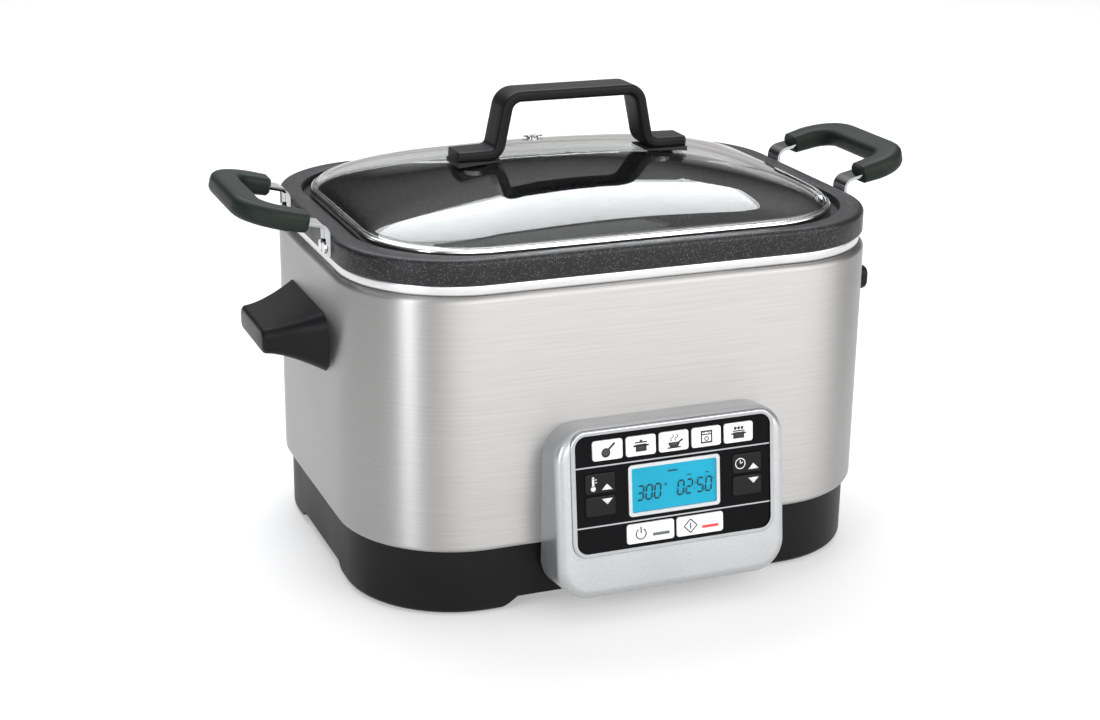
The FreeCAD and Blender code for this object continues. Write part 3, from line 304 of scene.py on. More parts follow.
def piano_black():
    """High gloss black with a faint orange-peel ripple."""
    gloss = Finish("piano_black", GLOSS_BLACK, GLOSS_SHEEN, Specular_IOR_Level=GLOSS_SHINE)
    gloss.set("Coat Weight", GLOSS_CLEAR)
    gloss.set("Coat Roughness", GLOSS_CLEAR_ROUGH)
    gloss.rough(gloss.noise(GLOSS_PATCHES), *GLOSS_ROUGH)
    gloss.bump(gloss.noise(RIPPLE_SCALE, detail=1.0), RIPPLE_DEPTH, RIPPLE_STRENGTH)
    return gloss.material


GLASS_BEND = 1.5
WINDOW_BEND = 1.15
GLASS_DRIFT = 9.0
GLASS_SHADE = 0.98
GLASS_HAZE = 0.02


def clear_glass(name, tint, bend=GLASS_BEND):
    """Solid clear glass with a trace of colour that drifts a little over the pane."""
    glass = Finish(name, tint, 0.0)
    drift = glass.noise(GLASS_DRIFT)
    glass.blend(drift, tuple(part * GLASS_SHADE for part in tint), tint)
    glass.rough(drift, 0.0, GLASS_HAZE)
    glass.set("Transmission Weight", 1.0)
    glass.set("IOR", bend)
    return glass.material


DISPLAY_MIDDLE = (0.0, 0.18, 0.25)
DISPLAY_DEEP = (0.0, 0.16, 0.22)
DISPLAY_PALE = (0.0, 0.2, 0.28)
DISPLAY_LIT = (0.0, 0.42, 0.62)
DISPLAY_SHEEN = 0.3
DISPLAY_POWER = 0.7
DISPLAY_PATCHES = 18.0


def backlit_blue():
    """Liquid-crystal panel lit evenly from behind, with a slow drift of its blue."""
    blue = Finish("backlit_blue", DISPLAY_MIDDLE, DISPLAY_SHEEN)
    blue.blend(blue.noise(DISPLAY_PATCHES), DISPLAY_DEEP, DISPLAY_PALE)
    blue.set("Emission Color", (*DISPLAY_LIT, 1.0))
    blue.set("Emission Strength", DISPLAY_POWER)
    return blue.material


BAR_SHEEN = 0.25
BAR_GRAIN = 300.0
BAR_SHADE = 0.85


def light_bar(name, colour, strength):
    """Tinted lens of a key's light, glowing by its strength."""
    bar = Finish(name, colour, BAR_SHEEN)
    bar.blend(bar.noise(BAR_GRAIN), tuple(part * BAR_SHADE for part in colour), colour)
    bar.set("Emission Color", (*colour, 1.0))
    bar.set("Emission Strength", strength)
    return bar.material


INK_SHEEN = 0.5
INK_GRAIN = 400.0
INK_SHADE = 0.9


def printed_ink(name, colour):
    """Matt print with a faint grain."""
    ink = Finish(name, colour, INK_SHEEN)
    ink.blend(ink.noise(INK_GRAIN), tuple(part * INK_SHADE for part in colour), colour)
    return ink.material


# Finish of each material slot: name, colour, and the lowest and highest roughness
FINISHES = {
    "wrap_steel": brushed_wrap(),
    "black_plastic": moulded_plastic("satin_black", (0.0035, 0.0035, 0.004), 0.36, 0.48),
    "plain_steel": bright_metal("zinc_sheet", (0.5, 0.5, 0.49), 0.35, 0.5),
    "screw_steel": bright_metal("zinc_fastener", (0.6, 0.6, 0.6), 0.22, 0.34),
    "foot_rubber": moulded_plastic("silicone_rubber", (0.02, 0.02, 0.021), 0.6, 0.75),
    "gland_rubber": moulded_plastic("gland_rubber", (0.014, 0.014, 0.014), 0.55, 0.7),
    "well_aluminium": bright_metal("drawn_aluminium", (0.72, 0.72, 0.72), 0.3, 0.45),
    "heater_aluminium": bright_metal("cast_aluminium", (0.6, 0.6, 0.6), 0.45, 0.6),
    "element_steel": bright_metal("sheath_steel", (0.4, 0.39, 0.38), 0.35, 0.5),
    "fuse_ceramic": moulded_plastic("fuse_ceramic", (0.8, 0.78, 0.72), 0.5, 0.65),
    "board_green": moulded_plastic("solder_mask", (0.02, 0.2, 0.07), 0.3, 0.4),
    "relay_blue": moulded_plastic("component_case", (0.04, 0.08, 0.3), 0.35, 0.45),
    "transformer_iron": moulded_plastic("lacquered_core", (0.15, 0.14, 0.13), 0.45, 0.6),
    "ring_metal": bright_metal("bright_ring", (0.68, 0.68, 0.68), 0.3, 0.38, (1, 1, 20)),
    "silver_plastic": silver_lacquer("silver_lacquer", (0.42, 0.43, 0.44)),
    "chrome_trim": bright_metal("chrome", (0.5, 0.51, 0.52), 0.05, 0.1),
    "gloss_black": piano_black(),
    "silver_trim": silver_lacquer("silver_trim", (0.5, 0.51, 0.52)),
    "display_glass": clear_glass("display_window", (0.97, 0.99, 1.0), WINDOW_BEND),
    "display_blue": backlit_blue(),
    "switch_black": moulded_plastic("switch_black", (0.04, 0.04, 0.04), 0.4, 0.5),
    "key_white": moulded_plastic("key_white", (0.6, 0.61, 0.61), 0.3, 0.42),
    "key_black": moulded_plastic("key_black", (0.006, 0.006, 0.0065), 0.25, 0.35),
    "light_green": light_bar("idle_bar", (0.08, 0.1, 0.09), 0.0),
    "light_red": light_bar("lit_bar", (0.75, 0.03, 0.03), 0.5),
    "pot_coating": speckled_coating(),
    "grip_plastic": moulded_plastic("grip_dark_green", (0.008, 0.012, 0.0095), 0.42, 0.55, 1200.0),
    "lid_glass": clear_glass("tempered_glass", (0.93, 0.96, 0.95)),
    "rim_steel": bright_metal("polished_rim", (0.75, 0.74, 0.73), 0.12, 0.2),
}
INK_BLACK = printed_ink("print_black", (0.015, 0.015, 0.017))
INK_WHITE = printed_ink("print_white", (0.62, 0.62, 0.62))
INK_LCD = printed_ink("display_segment", (0.0, 0.008, 0.014))


# Meshes and pieces
SHARP_BEND = 30.0
SHARP_SKIN = 28.0
MERGE_REACH = 1e-6
SLIVER = 1e-7


def piece(name, vertices, faces, node=None, body=None, finish=None, sharp=SHARP_BEND, closed=True):
    """Mesh object from arrays, smooth up to the sharp angle, riding with a node's body."""
    mesh = bpy.data.meshes.new(name)
    mesh.from_pydata(np.asarray(vertices).tolist(), [], [list(face) for face in faces])
    work = bmesh.new()
    work.from_mesh(mesh)
    bmesh.ops.remove_doubles(work, verts=work.verts, dist=MERGE_REACH)
    bmesh.ops.dissolve_degenerate(work, edges=work.edges, dist=SLIVER)
    if closed:
        bmesh.ops.recalc_face_normals(work, faces=work.faces)
    work.to_mesh(mesh)
    work.free()
    mesh.shade_smooth()
    mesh.set_sharp_from_angle(angle=math.radians(sharp))
    made = bpy.data.objects.new(name, mesh)
    bpy.context.scene.collection.objects.link(made)
    mesh.materials.append(finish or FINISHES[SLOT_OF[node]])
    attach(made, body or BODY_OF[node])
    return made


def grid_faces(rows, columns, loop_rows=False, loop_columns=True):
    """Quads of a grid of points, joined end to end where a direction closes on itself."""
    r = np.arange(rows if loop_rows else rows - 1)
    c = np.arange(columns if loop_columns else columns - 1)
    r, c = np.meshgrid(r, c, indexing="ij")
    next_r, next_c = (r + 1) % rows, (c + 1) % columns
    quads = (r * columns + c, r * columns + next_c, next_r * columns + next_c, next_r * columns + c)
    return np.stack(quads, -1).reshape(-1, 4)


def grid_piece(name, points, node, loop_rows=False):
    """Skin of a grid whose columns close; open rows get a flat cap at each end. It replaces the node."""
    rows, columns = points.shape[:2]
    faces = grid_faces(rows, columns, loop_rows).tolist()
    if not loop_rows:
        faces += [list(range(columns))[::-1], list(range((rows - 1) * columns, rows * columns))]
    made = piece(name, points.reshape(-1, 3) + BODY_MIDDLE, faces, node)
    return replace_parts(made, node)


def node_points(node):
    """Corner positions and triangles of a CAD node."""
    mesh = NODES[node].data
    points = np.empty(len(mesh.vertices) * 3, np.float32)
    mesh.vertices.foreach_get("co", points)
    return points.reshape(-1, 3).astype(float), [list(face.vertices) for face in mesh.polygons]


def smooth_copy(node):
    """The node's own shape with its doubles merged, so that curved faces shade smoothly."""
    points, faces = node_points(node)
    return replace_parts(piece(node + "_skin", points, faces, node, sharp=SHARP_SKIN, closed=False), node)


def rounded_rows(half_x, half_y, corner, per_corner=22, per_side=8):
    """Rounded rectangles, a row for each entry: quarter arcs about four centres with straight sides."""
    sizes = (half_x, half_y, corner)
    half_x, half_y, corner = (np.atleast_1d(np.asarray(size, float))[:, None] for size in sizes)
    turn = np.linspace(0, math.pi / 2, per_corner)
    run = np.linspace(0, 1, per_side + 2)[1:-1]
    signs = ((1, 1), (-1, 1), (-1, -1), (1, -1))
    columns_x, columns_y = [], []
    for k, (sx, sy) in enumerate(signs):
        nx, ny = signs[(k + 1) % 4]
        angle = turn + k * math.pi / 2
        arc_x = sx * (half_x - corner) + corner * np.cos(angle)
        arc_y = sy * (half_y - corner) + corner * np.sin(angle)
        start_x, start_y = nx * (half_x - corner), ny * (half_y - corner)
        begin = (k + 1) * math.pi / 2
        start_x, start_y = start_x + corner * math.cos(begin), start_y + corner * math.sin(begin)
        columns_x += [arc_x, arc_x[:, -1:] * (1 - run) + start_x * run]
        columns_y += [arc_y, arc_y[:, -1:] * (1 - run) + start_y * run]
    return np.concatenate(columns_x, 1), np.concatenate(columns_y, 1)


def stacked(half_x, half_y, corner, height):
    """Grid of points: rounded rectangles at rising heights."""
    x, y = rounded_rows(half_x, half_y, corner)
    z = np.broadcast_to(np.asarray(height, float)[:, None], x.shape)
    return np.stack((x, y, z), -1)


def arc(inset, height, radius, start, end, count=7):
    """Circular bend in a wall's section, as inset and height; angles in degrees from outward."""
    angle = np.radians(np.linspace(start, end, count))
    return np.stack((inset - radius * np.cos(angle), height + radius * np.sin(angle)), -1)


def ring_of(name, node, half_x, half_y, corner, section):
    """A closed section, given as inset and height, carried round a rounded rectangle."""
    section = np.asarray(section) * MM
    points = stacked(half_x - section[:, 0], half_y - section[:, 0], corner - section[:, 0], section[:, 1])
    return grid_piece(name, points, node, loop_rows=True)


def half_sizes(node):
    """Half width and half depth in metres, and lowest and highest millimetre, of a node's box."""
    low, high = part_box(node)
    return (high.x - low.x) / 2, (high.y - low.y) / 2, low.z / MM, high.z / MM


# Steel wrap, seat ring and lid rim as bent sections
WRAP_CORNER = 69.0 * MM
WRAP_ROLL = 3.5
WRAP_SHEET = 0.8
WRAP_LIP_LOW = 8.0
WRAP_LIP_TOP = 5.0


def make_wrap():
    """Thin sheet: an upright wall rolled inward to a lip at its foot and at its top."""
    half_x, half_y, low, top = half_sizes("steel_wrap")
    roll, thin = WRAP_ROLL, WRAP_SHEET
    section = np.concatenate((
        [(WRAP_LIP_LOW, low + thin), (WRAP_LIP_LOW, low)],
        arc(roll, low + roll, roll, -90, 0), arc(roll, top - roll, roll, 0, 90),
        [(WRAP_LIP_TOP, top), (WRAP_LIP_TOP, top - thin)],
        arc(roll, top - roll, roll - thin, 90, 0), arc(roll, low + roll, roll - thin, 0, -90)))
    return ring_of("steel_wrap_sheet", "steel_wrap", half_x, half_y, WRAP_CORNER, section)


RING_CORNER = 66.0 * MM
RING_WIDTH = 9.0
RING_ROLL = 1.6


def make_seat_ring():
    """Flat band whose outer edge is rounded above and below."""
    half_x, half_y, low, top = half_sizes("seat_ring")
    section = np.concatenate((
        [(RING_WIDTH, low)], arc(RING_ROLL, low + RING_ROLL, RING_ROLL, -90, 0, 5),
        arc(RING_ROLL, top - RING_ROLL, RING_ROLL, 0, 90, 5), [(RING_WIDTH, top)]))
    return ring_of("seat_ring_band", "seat_ring", half_x, half_y, RING_CORNER, section)


RIM_CORNER = 60.0 * MM
RIM_WIDTH = 5.0
RIM_ROLL = 1.8
RIM_ROLL_END = 130
RIM_TUCK_IN = 3.4
RIM_TUCK_DOWN = 1.4
RIM_HEM_DOWN = 2.6


def make_lid_rim():
    """Bead rolled over the edge of the glass, tucked in and hemmed on its upper side."""
    half_x, half_y, low, top = half_sizes("lid_rim")
    section = np.concatenate((
        [(RIM_WIDTH, low)], arc(RIM_ROLL, low + RIM_ROLL, RIM_ROLL, -90, 0, 5),
        arc(RIM_ROLL, top - RIM_ROLL, RIM_ROLL, 0, RIM_ROLL_END, 8),
        [(RIM_TUCK_IN, top - RIM_TUCK_DOWN), (RIM_WIDTH, top - RIM_HEM_DOWN)]))
    return ring_of("lid_rim_band", "lid_rim", half_x, half_y, RIM_CORNER, section)


# Cooking pot: collar, lid ledge, tapering bowl and floor in one skin
COLLAR_CORNER = 68.0
COLLAR_ROLL = 3.0
COLLAR_HIGH = 14.0
COLLAR_CHAMFER = 0.8
RECESS = (149.0, 113.0, 65.0)
RECESS_DEEP = 5.0
RECESS_ROLL = 1.5
RECESS_SOFT = 0.3
MOUTH = (141.0, 104.5, 54.0)
BOWL_DRAFT = 10.0
BOWL_WALL = 3.0
BOWL_ROUND = 14.0
BOWL_FLOOR_SHARES = np.array([0.75, 0.5, 0.25, 0.04])


def bowl_rows(outline, draft, floor, top, bend):
    """Sizes and heights of a tapering wall that bends into a flat floor, from the mouth down."""
    angle = np.radians(np.linspace(0, 90, 9))
    wall = np.linspace(0, 1, 6)[:-1]
    inset = np.concatenate((wall * draft * (1 - bend / (top - floor)), draft + bend * (1 - np.cos(angle))))
    height = np.concatenate((top + wall * (floor + bend - top), floor + bend * (1 - np.sin(angle))))
    sizes = np.stack([size - inset for size in outline] + [height], -1)
    last = sizes[-1]
    shares = BOWL_FLOOR_SHARES[:, None]
    return np.concatenate((sizes, np.concatenate((last[:3] * shares, np.full_like(shares, floor)), 1)))


def make_pot():
    """Rows from the outer floor up the bowl, over the collar, down to the ledge and into the bowl."""
    half_x, half_y, low, top = half_sizes("cooking_pot")
    collar = (half_x / MM, half_y / MM, COLLAR_CORNER)
    under = top - COLLAR_HIGH
    ledge = top - RECESS_DEEP
    outer = bowl_rows([size + BOWL_WALL for size in MOUTH], BOWL_DRAFT, low, under, BOWL_ROUND)[::-1]
    inner = bowl_rows(MOUTH, BOWL_DRAFT, low + BOWL_WALL, ledge, BOWL_ROUND - BOWL_WALL)

    def at(outline, section):
        return np.array([[size - inset for size in outline] + [z] for inset, z in section])

    lip = RECESS_ROLL * RECESS_SOFT
    rows = np.concatenate((
        outer,
        at(collar, [(COLLAR_CHAMFER, under), (0, under + COLLAR_CHAMFER)]),
        at(collar, arc(COLLAR_ROLL, top - COLLAR_ROLL, COLLAR_ROLL, 0, 90)),
        at(RECESS, [(-RECESS_ROLL, top), (-lip, top - lip), (0, top - RECESS_ROLL), (0, ledge)]),
        inner)) * MM
    points = stacked(*rows.T)
    return grid_piece("cooking_pot_casting", points, "cooking_pot")


# Lid glass: a dome whose level lines run from an ellipse at the crown to the rim's outline
GLASS_CORNER = 58.0 * MM
GLASS_THICK = 4.0 * MM
GLASS_SKIRT = 3.5 * MM
DOME_POWER = 0.6
DOME_STEPS = 40
DOME_POLE = 1e-4
GLASS_INSET = GLASS_THICK * 0.9


def dome_rows(half_x, half_y, corner, foot, rise, shares):
    """Height is rise times (1 - share squared) to a power; outlines shrink with the share."""
    x, y = rounded_rows([half_x], [half_y], [corner])
    around = np.arctan2(y / half_y, x / half_x)
    share = np.asarray(shares)[:, None]
    square = share ** 2
    plan_x = share * ((1 - square) * half_x * np.cos(around) + square * x)
    plan_y = share * ((1 - square) * half_y * np.sin(around) + square * y)
    height = foot + rise * np.maximum(1 - square, 0) ** DOME_POWER
    return np.stack((plan_x, plan_y, np.broadcast_to(height, plan_x.shape)), -1)


def make_lid_glass():
    """Outer dome from its crown down, a short upright skirt, and the inner dome back up."""
    half_x, half_y, low, top = half_sizes("lid_glass")
    low, top = low * MM, top * MM
    foot = low + GLASS_SKIRT
    shares = np.sin(np.linspace(0, math.pi / 2, DOME_STEPS))
    shares[0] = DOME_POLE
    outer = np.array((half_x, half_y, GLASS_CORNER))
    inner = outer - GLASS_INSET
    outside = dome_rows(*outer, foot, top - foot, shares)
    inside = dome_rows(*inner, foot - GLASS_THICK, top - foot, shares)[::-1]
    inside = inside[inside[:, 0, 2] > low]
    skirt = stacked(*np.array([(*outer, low), (*inner, low)]).T)
    return grid_piece("lid_glass_dome", np.concatenate((outside, skirt, inside)), "lid_glass")


# Bars carried along a bent path
def bent_path(corners, radii, per_bend=9):
    """Straight runs in a plane joined by arcs at each inner corner; gives points and directions."""
    corners = np.asarray(corners, float)
    points = [corners[:1]]
    for before, corner, after, radius in zip(corners, corners[1:], corners[2:], radii):
        u, v = before - corner, after - corner
        u, v = u / np.linalg.norm(u), v / np.linalg.norm(v)
        half = math.acos(np.clip(u @ v, -1, 1)) / 2
        centre = corner + (u + v) / np.linalg.norm(u + v) * radius / math.sin(half)
        start, end = corner + u * radius / math.tan(half), corner + v * radius / math.tan(half)
        a, b = start - centre, end - centre
        sweep = math.acos(np.clip(a @ b / radius ** 2, -1, 1))
        t = np.linspace(0, 1, per_bend)[:, None]
        points.append(centre + (a * np.sin((1 - t) * sweep) + b * np.sin(t * sweep)) / math.sin(sweep))
    points.append(corners[-1:])
    path = np.concatenate(points)
    ahead = np.gradient(path, axis=0)
    return path, ahead / np.linalg.norm(ahead, axis=1)[:, None]


def soft_section(half_a, half_b, corner):
    """Outline of a bar: a rounded rectangle in the two directions across its path."""
    a, b = rounded_rows([half_a], [half_b], [corner], 6, 2)
    return np.stack((a[0], b[0]), -1)


# How a bar's last rows draw in towards its end, and how far back they sit in edge radii
END_DRAW = [0.02, 0.75, 0.93]
END_BACK = [0.0, 0.0, 0.35]


def strap_piece(name, node, corners, radii, section, edge, to_world):
    """A section along a bent path, drawn in at both ends; to_world sets path plane and width in place."""
    path, ahead = bent_path(corners, radii)
    side = np.stack((-ahead[:, 1], ahead[:, 0]), -1)
    draw = np.concatenate((END_DRAW, np.ones(len(path) - 2), END_DRAW[::-1]))
    slack = edge * np.array(END_BACK)
    path = np.concatenate((path[:1] + ahead[:1] * slack[:, None], path[1:-1],
                           path[-1:] - ahead[-1:] * slack[::-1, None]))
    side = np.concatenate((side[:1].repeat(3, 0), side[1:-1], side[-1:].repeat(3, 0)))
    across = section[None, :, 0] * draw[:, None]
    plane = path[:, None] + side[:, None] * (section[:, 1][None, :] * draw[:, None])[..., None]
    return grid_piece(name, to_world(plane[..., 0], plane[..., 1], across), node)


# Lid handle: a flat strap bent into an arch along X
HANDLE_FOOT = 46.0 * MM
HANDLE_THICK = 6.5 * MM
HANDLE_TOP_HALF = 41.0 * MM
HANDLE_BEND = 9.0 * MM
HANDLE_EDGE = 2.2 * MM
HANDLE_SEAT = 0.92
HANDLE_LEAN = 0.6
HANDLE_FOOT_BEND = HANDLE_BEND * 0.8


def make_lid_handle():
    """Foot, leaning leg and crown on the right, mirrored to the left."""
    half_x, half_y, low, top = half_sizes("lid_handle")
    half = HANDLE_THICK / 2
    foot_z = low * MM + half * HANDLE_SEAT
    crown_z = top * MM - half
    right = [(half_x, foot_z), (HANDLE_FOOT + half * HANDLE_LEAN, foot_z), (HANDLE_TOP_HALF, crown_z)]
    corners = [(-x, z) for x, z in right] + [(x, z) for x, z in right[::-1]]
    radii = [HANDLE_FOOT_BEND, HANDLE_BEND, HANDLE_BEND, HANDLE_FOOT_BEND]
    return strap_piece("lid_handle_arch", "lid_handle", corners, radii,
                       soft_section(half_y, half, HANDLE_EDGE), HANDLE_EDGE,
                       lambda x, z, across: np.stack((x, across, z), -1))


# Pot grips: dark U-shaped bars in a plane that rises outward from the strap's bend
GRIP_TILT = math.radians(13.0)
GRIP_ORIGIN = (161.0 * MM, 214.5 * MM)
GRIP_START = 12.0 * MM
GRIP_END = 51.0 * MM
GRIP_HALF_Y = 52.0 * MM
GRIP_WIDE = 17.0 * MM
GRIP_THICK = 12.0 * MM
GRIP_BEND = 19.0 * MM
GRIP_DROP = -1.0 * MM
GRIP_EDGE = 4.2 * MM


def make_pot_grip(side):
    """U-shaped bar in the grip's plane; side is 1 for the right grip and -1 for the left."""
    half = GRIP_WIDE / 2
    arm = GRIP_HALF_Y - half
    bar = GRIP_END - half
    corners = [(GRIP_START, -arm), (bar, -arm), (bar, arm), (GRIP_START, arm)]

    def to_world(along, y, above):
        above = above + GRIP_DROP
        x = GRIP_ORIGIN[0] + along * math.cos(GRIP_TILT) - above * math.sin(GRIP_TILT)
        z = GRIP_ORIGIN[1] + along * math.sin(GRIP_TILT) + above * math.cos(GRIP_TILT)
        return np.stack((side * x, y, z), -1)

    node = "pot_grip_right" if side > 0 else "pot_grip_left"
    return strap_piece(node + "_bar", node, corners, [GRIP_BEND, GRIP_BEND],
                       soft_section(GRIP_THICK / 2, half, GRIP_EDGE), GRIP_EDGE, to_world)


# Pot brackets: pressed straps with raised rims, bent from the collar's face out into the grip
BRACKET_Y = 43.0 * MM
BRACKET_HALF = 7.0 * MM
BRACKET_LOW = 196.5 * MM
BRACKET_BEND = 6.5 * MM
BRACKET_REACH = 26.0 * MM
BRACKET_WEB = 0.6 * MM
BRACKET_RIM = 1.3 * MM
BRACKET_RIM_WIDE = 1.3 * MM


def channel_section(count=27):
    """Strap outline: a thin web whose outer face rises to a rim, a Gauss bump, near each edge."""
    across = np.linspace(-BRACKET_HALF, BRACKET_HALF, count)
    from_rim = (np.abs(across) - (BRACKET_HALF - BRACKET_RIM_WIDE)) / BRACKET_RIM_WIDE
    outer = BRACKET_WEB + BRACKET_RIM * np.exp(-from_rim ** 2)
    edge = np.clip((BRACKET_HALF - np.abs(across)) / BRACKET_RIM_WIDE, 0.0, 1.0) ** 0.5
    outer = outer * edge
    inner = np.full(count, -BRACKET_WEB)
    return np.stack((np.concatenate((across, across[::-1])), -np.concatenate((outer, inner[::-1]))), -1)


def make_brackets(side):
    """Upright leg bent out into the grip's plane; side is 1 for the right pair and -1 for the left."""
    node = "pot_bracket_right" if side > 0 else "pot_bracket_left"
    face = GRIP_ORIGIN[0] + BRACKET_WEB
    top = GRIP_ORIGIN[1] - BRACKET_WEB
    end = (face + BRACKET_REACH * math.cos(GRIP_TILT), top + BRACKET_REACH * math.sin(GRIP_TILT))
    corners = [(face, BRACKET_LOW), (face, top), end]
    for number, y in enumerate((-BRACKET_Y, BRACKET_Y), start=1):
        strap_piece(f"{node}_{number}", node, corners, [BRACKET_BEND], channel_section(), 0.0,
                    lambda x, z, across, y=y: np.stack((side * x, y + across, z), -1))


# Side handles of the base: blocks that flare in a hollow curve to the wall
# Root and tip: half width, lower and upper height, corner
SIDE_ROOT = (42.0, 125.0, 160.0, 9.0)
SIDE_TIP = (28.0, 135.5, 150.5, 5.0)
SIDE_FLARE = 1.45
SIDE_TIP_ROUND = 3.0
SIDE_CAP = 0.3
SIDE_TIP_DRAW = np.array([-1, 1, -1, -0.6])


def make_side_handle(side):
    """Half width, lower and upper height and corner run from root to tip as 1 - (1 - t) to a power."""
    node = "side_handle_right" if side > 0 else "side_handle_left"
    low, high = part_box(node)
    root, tip = sorted((abs(low.x), abs(high.x)))
    t = np.linspace(0, 1, 18)
    blend = (1 - (1 - t) ** SIDE_FLARE)[:, None]
    sizes = (np.array(SIDE_ROOT) * (1 - blend) + np.array(SIDE_TIP) * blend) * MM
    reach = root + (tip - root - SIDE_TIP_ROUND * MM) * t
    turn = np.linspace(0, math.pi / 2, 6)[1:]
    draw = SIDE_TIP_ROUND * MM * (1 - np.cos(turn))[:, None]
    tip_sizes = sizes[-1] + draw * SIDE_TIP_DRAW
    tip_reach = tip - SIDE_TIP_ROUND * MM * (1 - np.sin(turn))
    sizes, reach = np.concatenate((sizes, tip_sizes)), np.concatenate((reach, tip_reach))
    middle = (sizes[:, 1] + sizes[:, 2]) / 2
    y, z = rounded_rows(sizes[:, 0], (sizes[:, 2] - sizes[:, 1]) / 2, sizes[:, 3])
    x = np.broadcast_to(reach[:, None], y.shape)
    skin = np.stack((side * x, y, z + middle[:, None]), -1)
    centre = skin.mean(1, keepdims=True)
    middle_cap = SIDE_CAP * skin[[0, -1]] + (1 - SIDE_CAP) * centre[[0, -1]]
    return grid_piece(node + "_moulding", np.concatenate((middle_cap[:1], skin, middle_cap[1:])), node)


# Flat marks on the panel: pictograms, arrows and display digits
PRESS = np.array(next(joint["axis"] for joint in frame["joints"] if joint["name"] == "power_key_press"))
OUTWARD = -PRESS / np.linalg.norm(PRESS)
ALONG = np.array([1.0, 0.0, 0.0])
UPWARD = np.cross(OUTWARD, ALONG)
MARK_LIFT = 0.04 * MM
FACE_DEPTH = 0.05 * MM
DISC_POLE = 1e-3


def face_of(node):
    """Middle of a piece's front face on the leaning panel."""
    points, _ = node_points(node)
    out = points @ OUTWARD
    front = points[out > out.max() - FACE_DEPTH]
    across, up = front @ ALONG, front @ UPWARD
    middle = ALONG * (across.max() + across.min()) / 2 + UPWARD * (up.max() + up.min()) / 2
    return middle + OUTWARD * out.max()


def disc(x, y, radius, inner=0.0, start=0.0, end=360.0, count=28):
    """Ring or disc sector as one strip of points, outer then inner."""
    angle = np.radians(np.linspace(start, end, count))
    ray = np.stack((np.cos(angle), np.sin(angle)), -1)
    return np.stack((np.array((x, y)) + ray * radius, np.array((x, y)) + ray * max(inner, DISC_POLE)), 0)


def bar(x0, y0, x1, y1, width):
    """Straight stroke between two points."""
    a, b = np.array((x0, y0), float), np.array((x1, y1), float)
    run = (b - a) / np.linalg.norm(b - a)
    off = np.array((-run[1], run[0])) * width / 2
    return np.stack((np.stack((a + off, b + off)), np.stack((a - off, b - off))), 0)


def slab(x0, y0, x1, y1):
    """Level rectangle between two opposite corners."""
    return bar(x0, (y0 + y1) / 2, x1, (y0 + y1) / 2, y1 - y0)


def wedge(x, y, half, high):
    """Solid triangle; a negative height points it down."""
    return np.array(((((x - half), y), (x, y + high)), (((x + half), y), (x, y + high))), float)


def marks(name, node, strips, ink, offset=(0.0, 0.0)):
    """Strips of panel millimetres laid just above a piece's front face."""
    origin = face_of(node) + OUTWARD * MARK_LIFT
    vertices, faces, count = [], [], 0
    for strip in strips:
        flat = (strip.reshape(-1, 2) + np.array(offset)) * MM
        vertices.append(origin + flat[:, :1] * ALONG + flat[:, 1:] * UPWARD)
        quads = grid_faces(2, strip.shape[1], False, False) + count
        faces.append(quads)
        count += len(flat)
    vertices, faces = np.concatenate(vertices), np.concatenate(faces)
    made = piece(name, vertices, faces, body=BODY_OF[node], finish=ink, closed=False)
    turn_outward(made.data)
    body = made.modifiers.new("print_thickness", "SOLIDIFY")
    body.thickness = MARK_LIFT
    body.offset = -1.0
    return made


def turn_outward(mesh):
    """Flip the faces of flat marks that look into the panel."""
    work = bmesh.new()
    work.from_mesh(mesh)
    bmesh.ops.reverse_faces(work, faces=[face for face in work.faces if np.dot(face.normal, OUTWARD) < 0])
    work.to_mesh(mesh)
    work.free()


def level(half, low, high):
    """Level bar about the middle: half width, lower and upper edge."""
    return slab(-half, low, half, high)


# Pictograms, drawn in panel millimetres about the middle of a key
def frying_pan():
    pan = disc(-1.0, -1.2, 2.3)
    stick = bar(0.5, 0.4, 3.6, 3.2, 1.1)
    return [pan, stick]


def stock_pot():
    body = level(2.8, -2.8, 0.8)
    ears = level(4.0, -0.4, 0.5)
    lid = level(3.1, 1.3, 2.0)
    knob = level(0.7, 2.0, 2.9)
    return [body, ears, lid, knob]


def simmering_pan():
    bowl = disc(0, -0.4, 3.0, 0.0, 180, 360)
    stick = bar(2.4, -0.7, 4.6, 0.6, 0.9)
    foot = level(3.4, -3.4, -2.7)
    steam = []
    for x in (-1.0, 1.2):
        steam.append(disc(x, 1.0, 0.95, 0.5, 90, 270, 9))
        steam.append(disc(x, 2.4, 0.95, 0.5, -90, 90, 9))
    return [bowl, stick, foot] + steam


def oven_front():
    case = [level(3.0, 2.3, 3.1), level(3.0, -3.1, -2.3)]
    case += [slab(-3.0, -3.1, -2.3, 3.1), slab(2.3, -3.1, 3.0, 3.1)]
    rail = level(3.0, 0.9, 1.5)
    window = disc(0, -0.9, 1.2, 0.7)
    knobs = [disc(x, 2.0, 0.3) for x in (-1.3, 1.3)]
    return case + [rail, window] + knobs


def steamer_pot():
    body = level(2.9, -2.9, 0.2)
    ears = level(4.0, -0.9, -0.1)
    brim = level(3.2, 0.5, 1.1)
    puffs = [disc(x, 2.2, 0.8) for x in (-1.8, 0.0, 1.8)]
    return [body, ears, brim] + puffs


def thermometer():
    bulb = disc(0, -2.1, 1.15)
    stem = level(0.55, -1.6, 2.6)
    top = disc(0, 2.6, 0.55)
    ticks = [slab(0.9, y, 1.7, y + 0.4) for y in (0.4, 1.6)]
    return [bulb, stem, top] + ticks


def clock_face():
    ring = disc(0, 0, 2.5, 2.05)
    hands = [bar(0, -0.2, 0, 1.6, 0.45), bar(-0.1, 0, 1.2, 0.5, 0.45)]
    return [ring] + hands


def power_symbol():
    ring = disc(0, -0.3, 3.4, 2.65, 120, 420)
    stroke = level(0.4, 0.0, 3.9)
    return [ring, stroke]


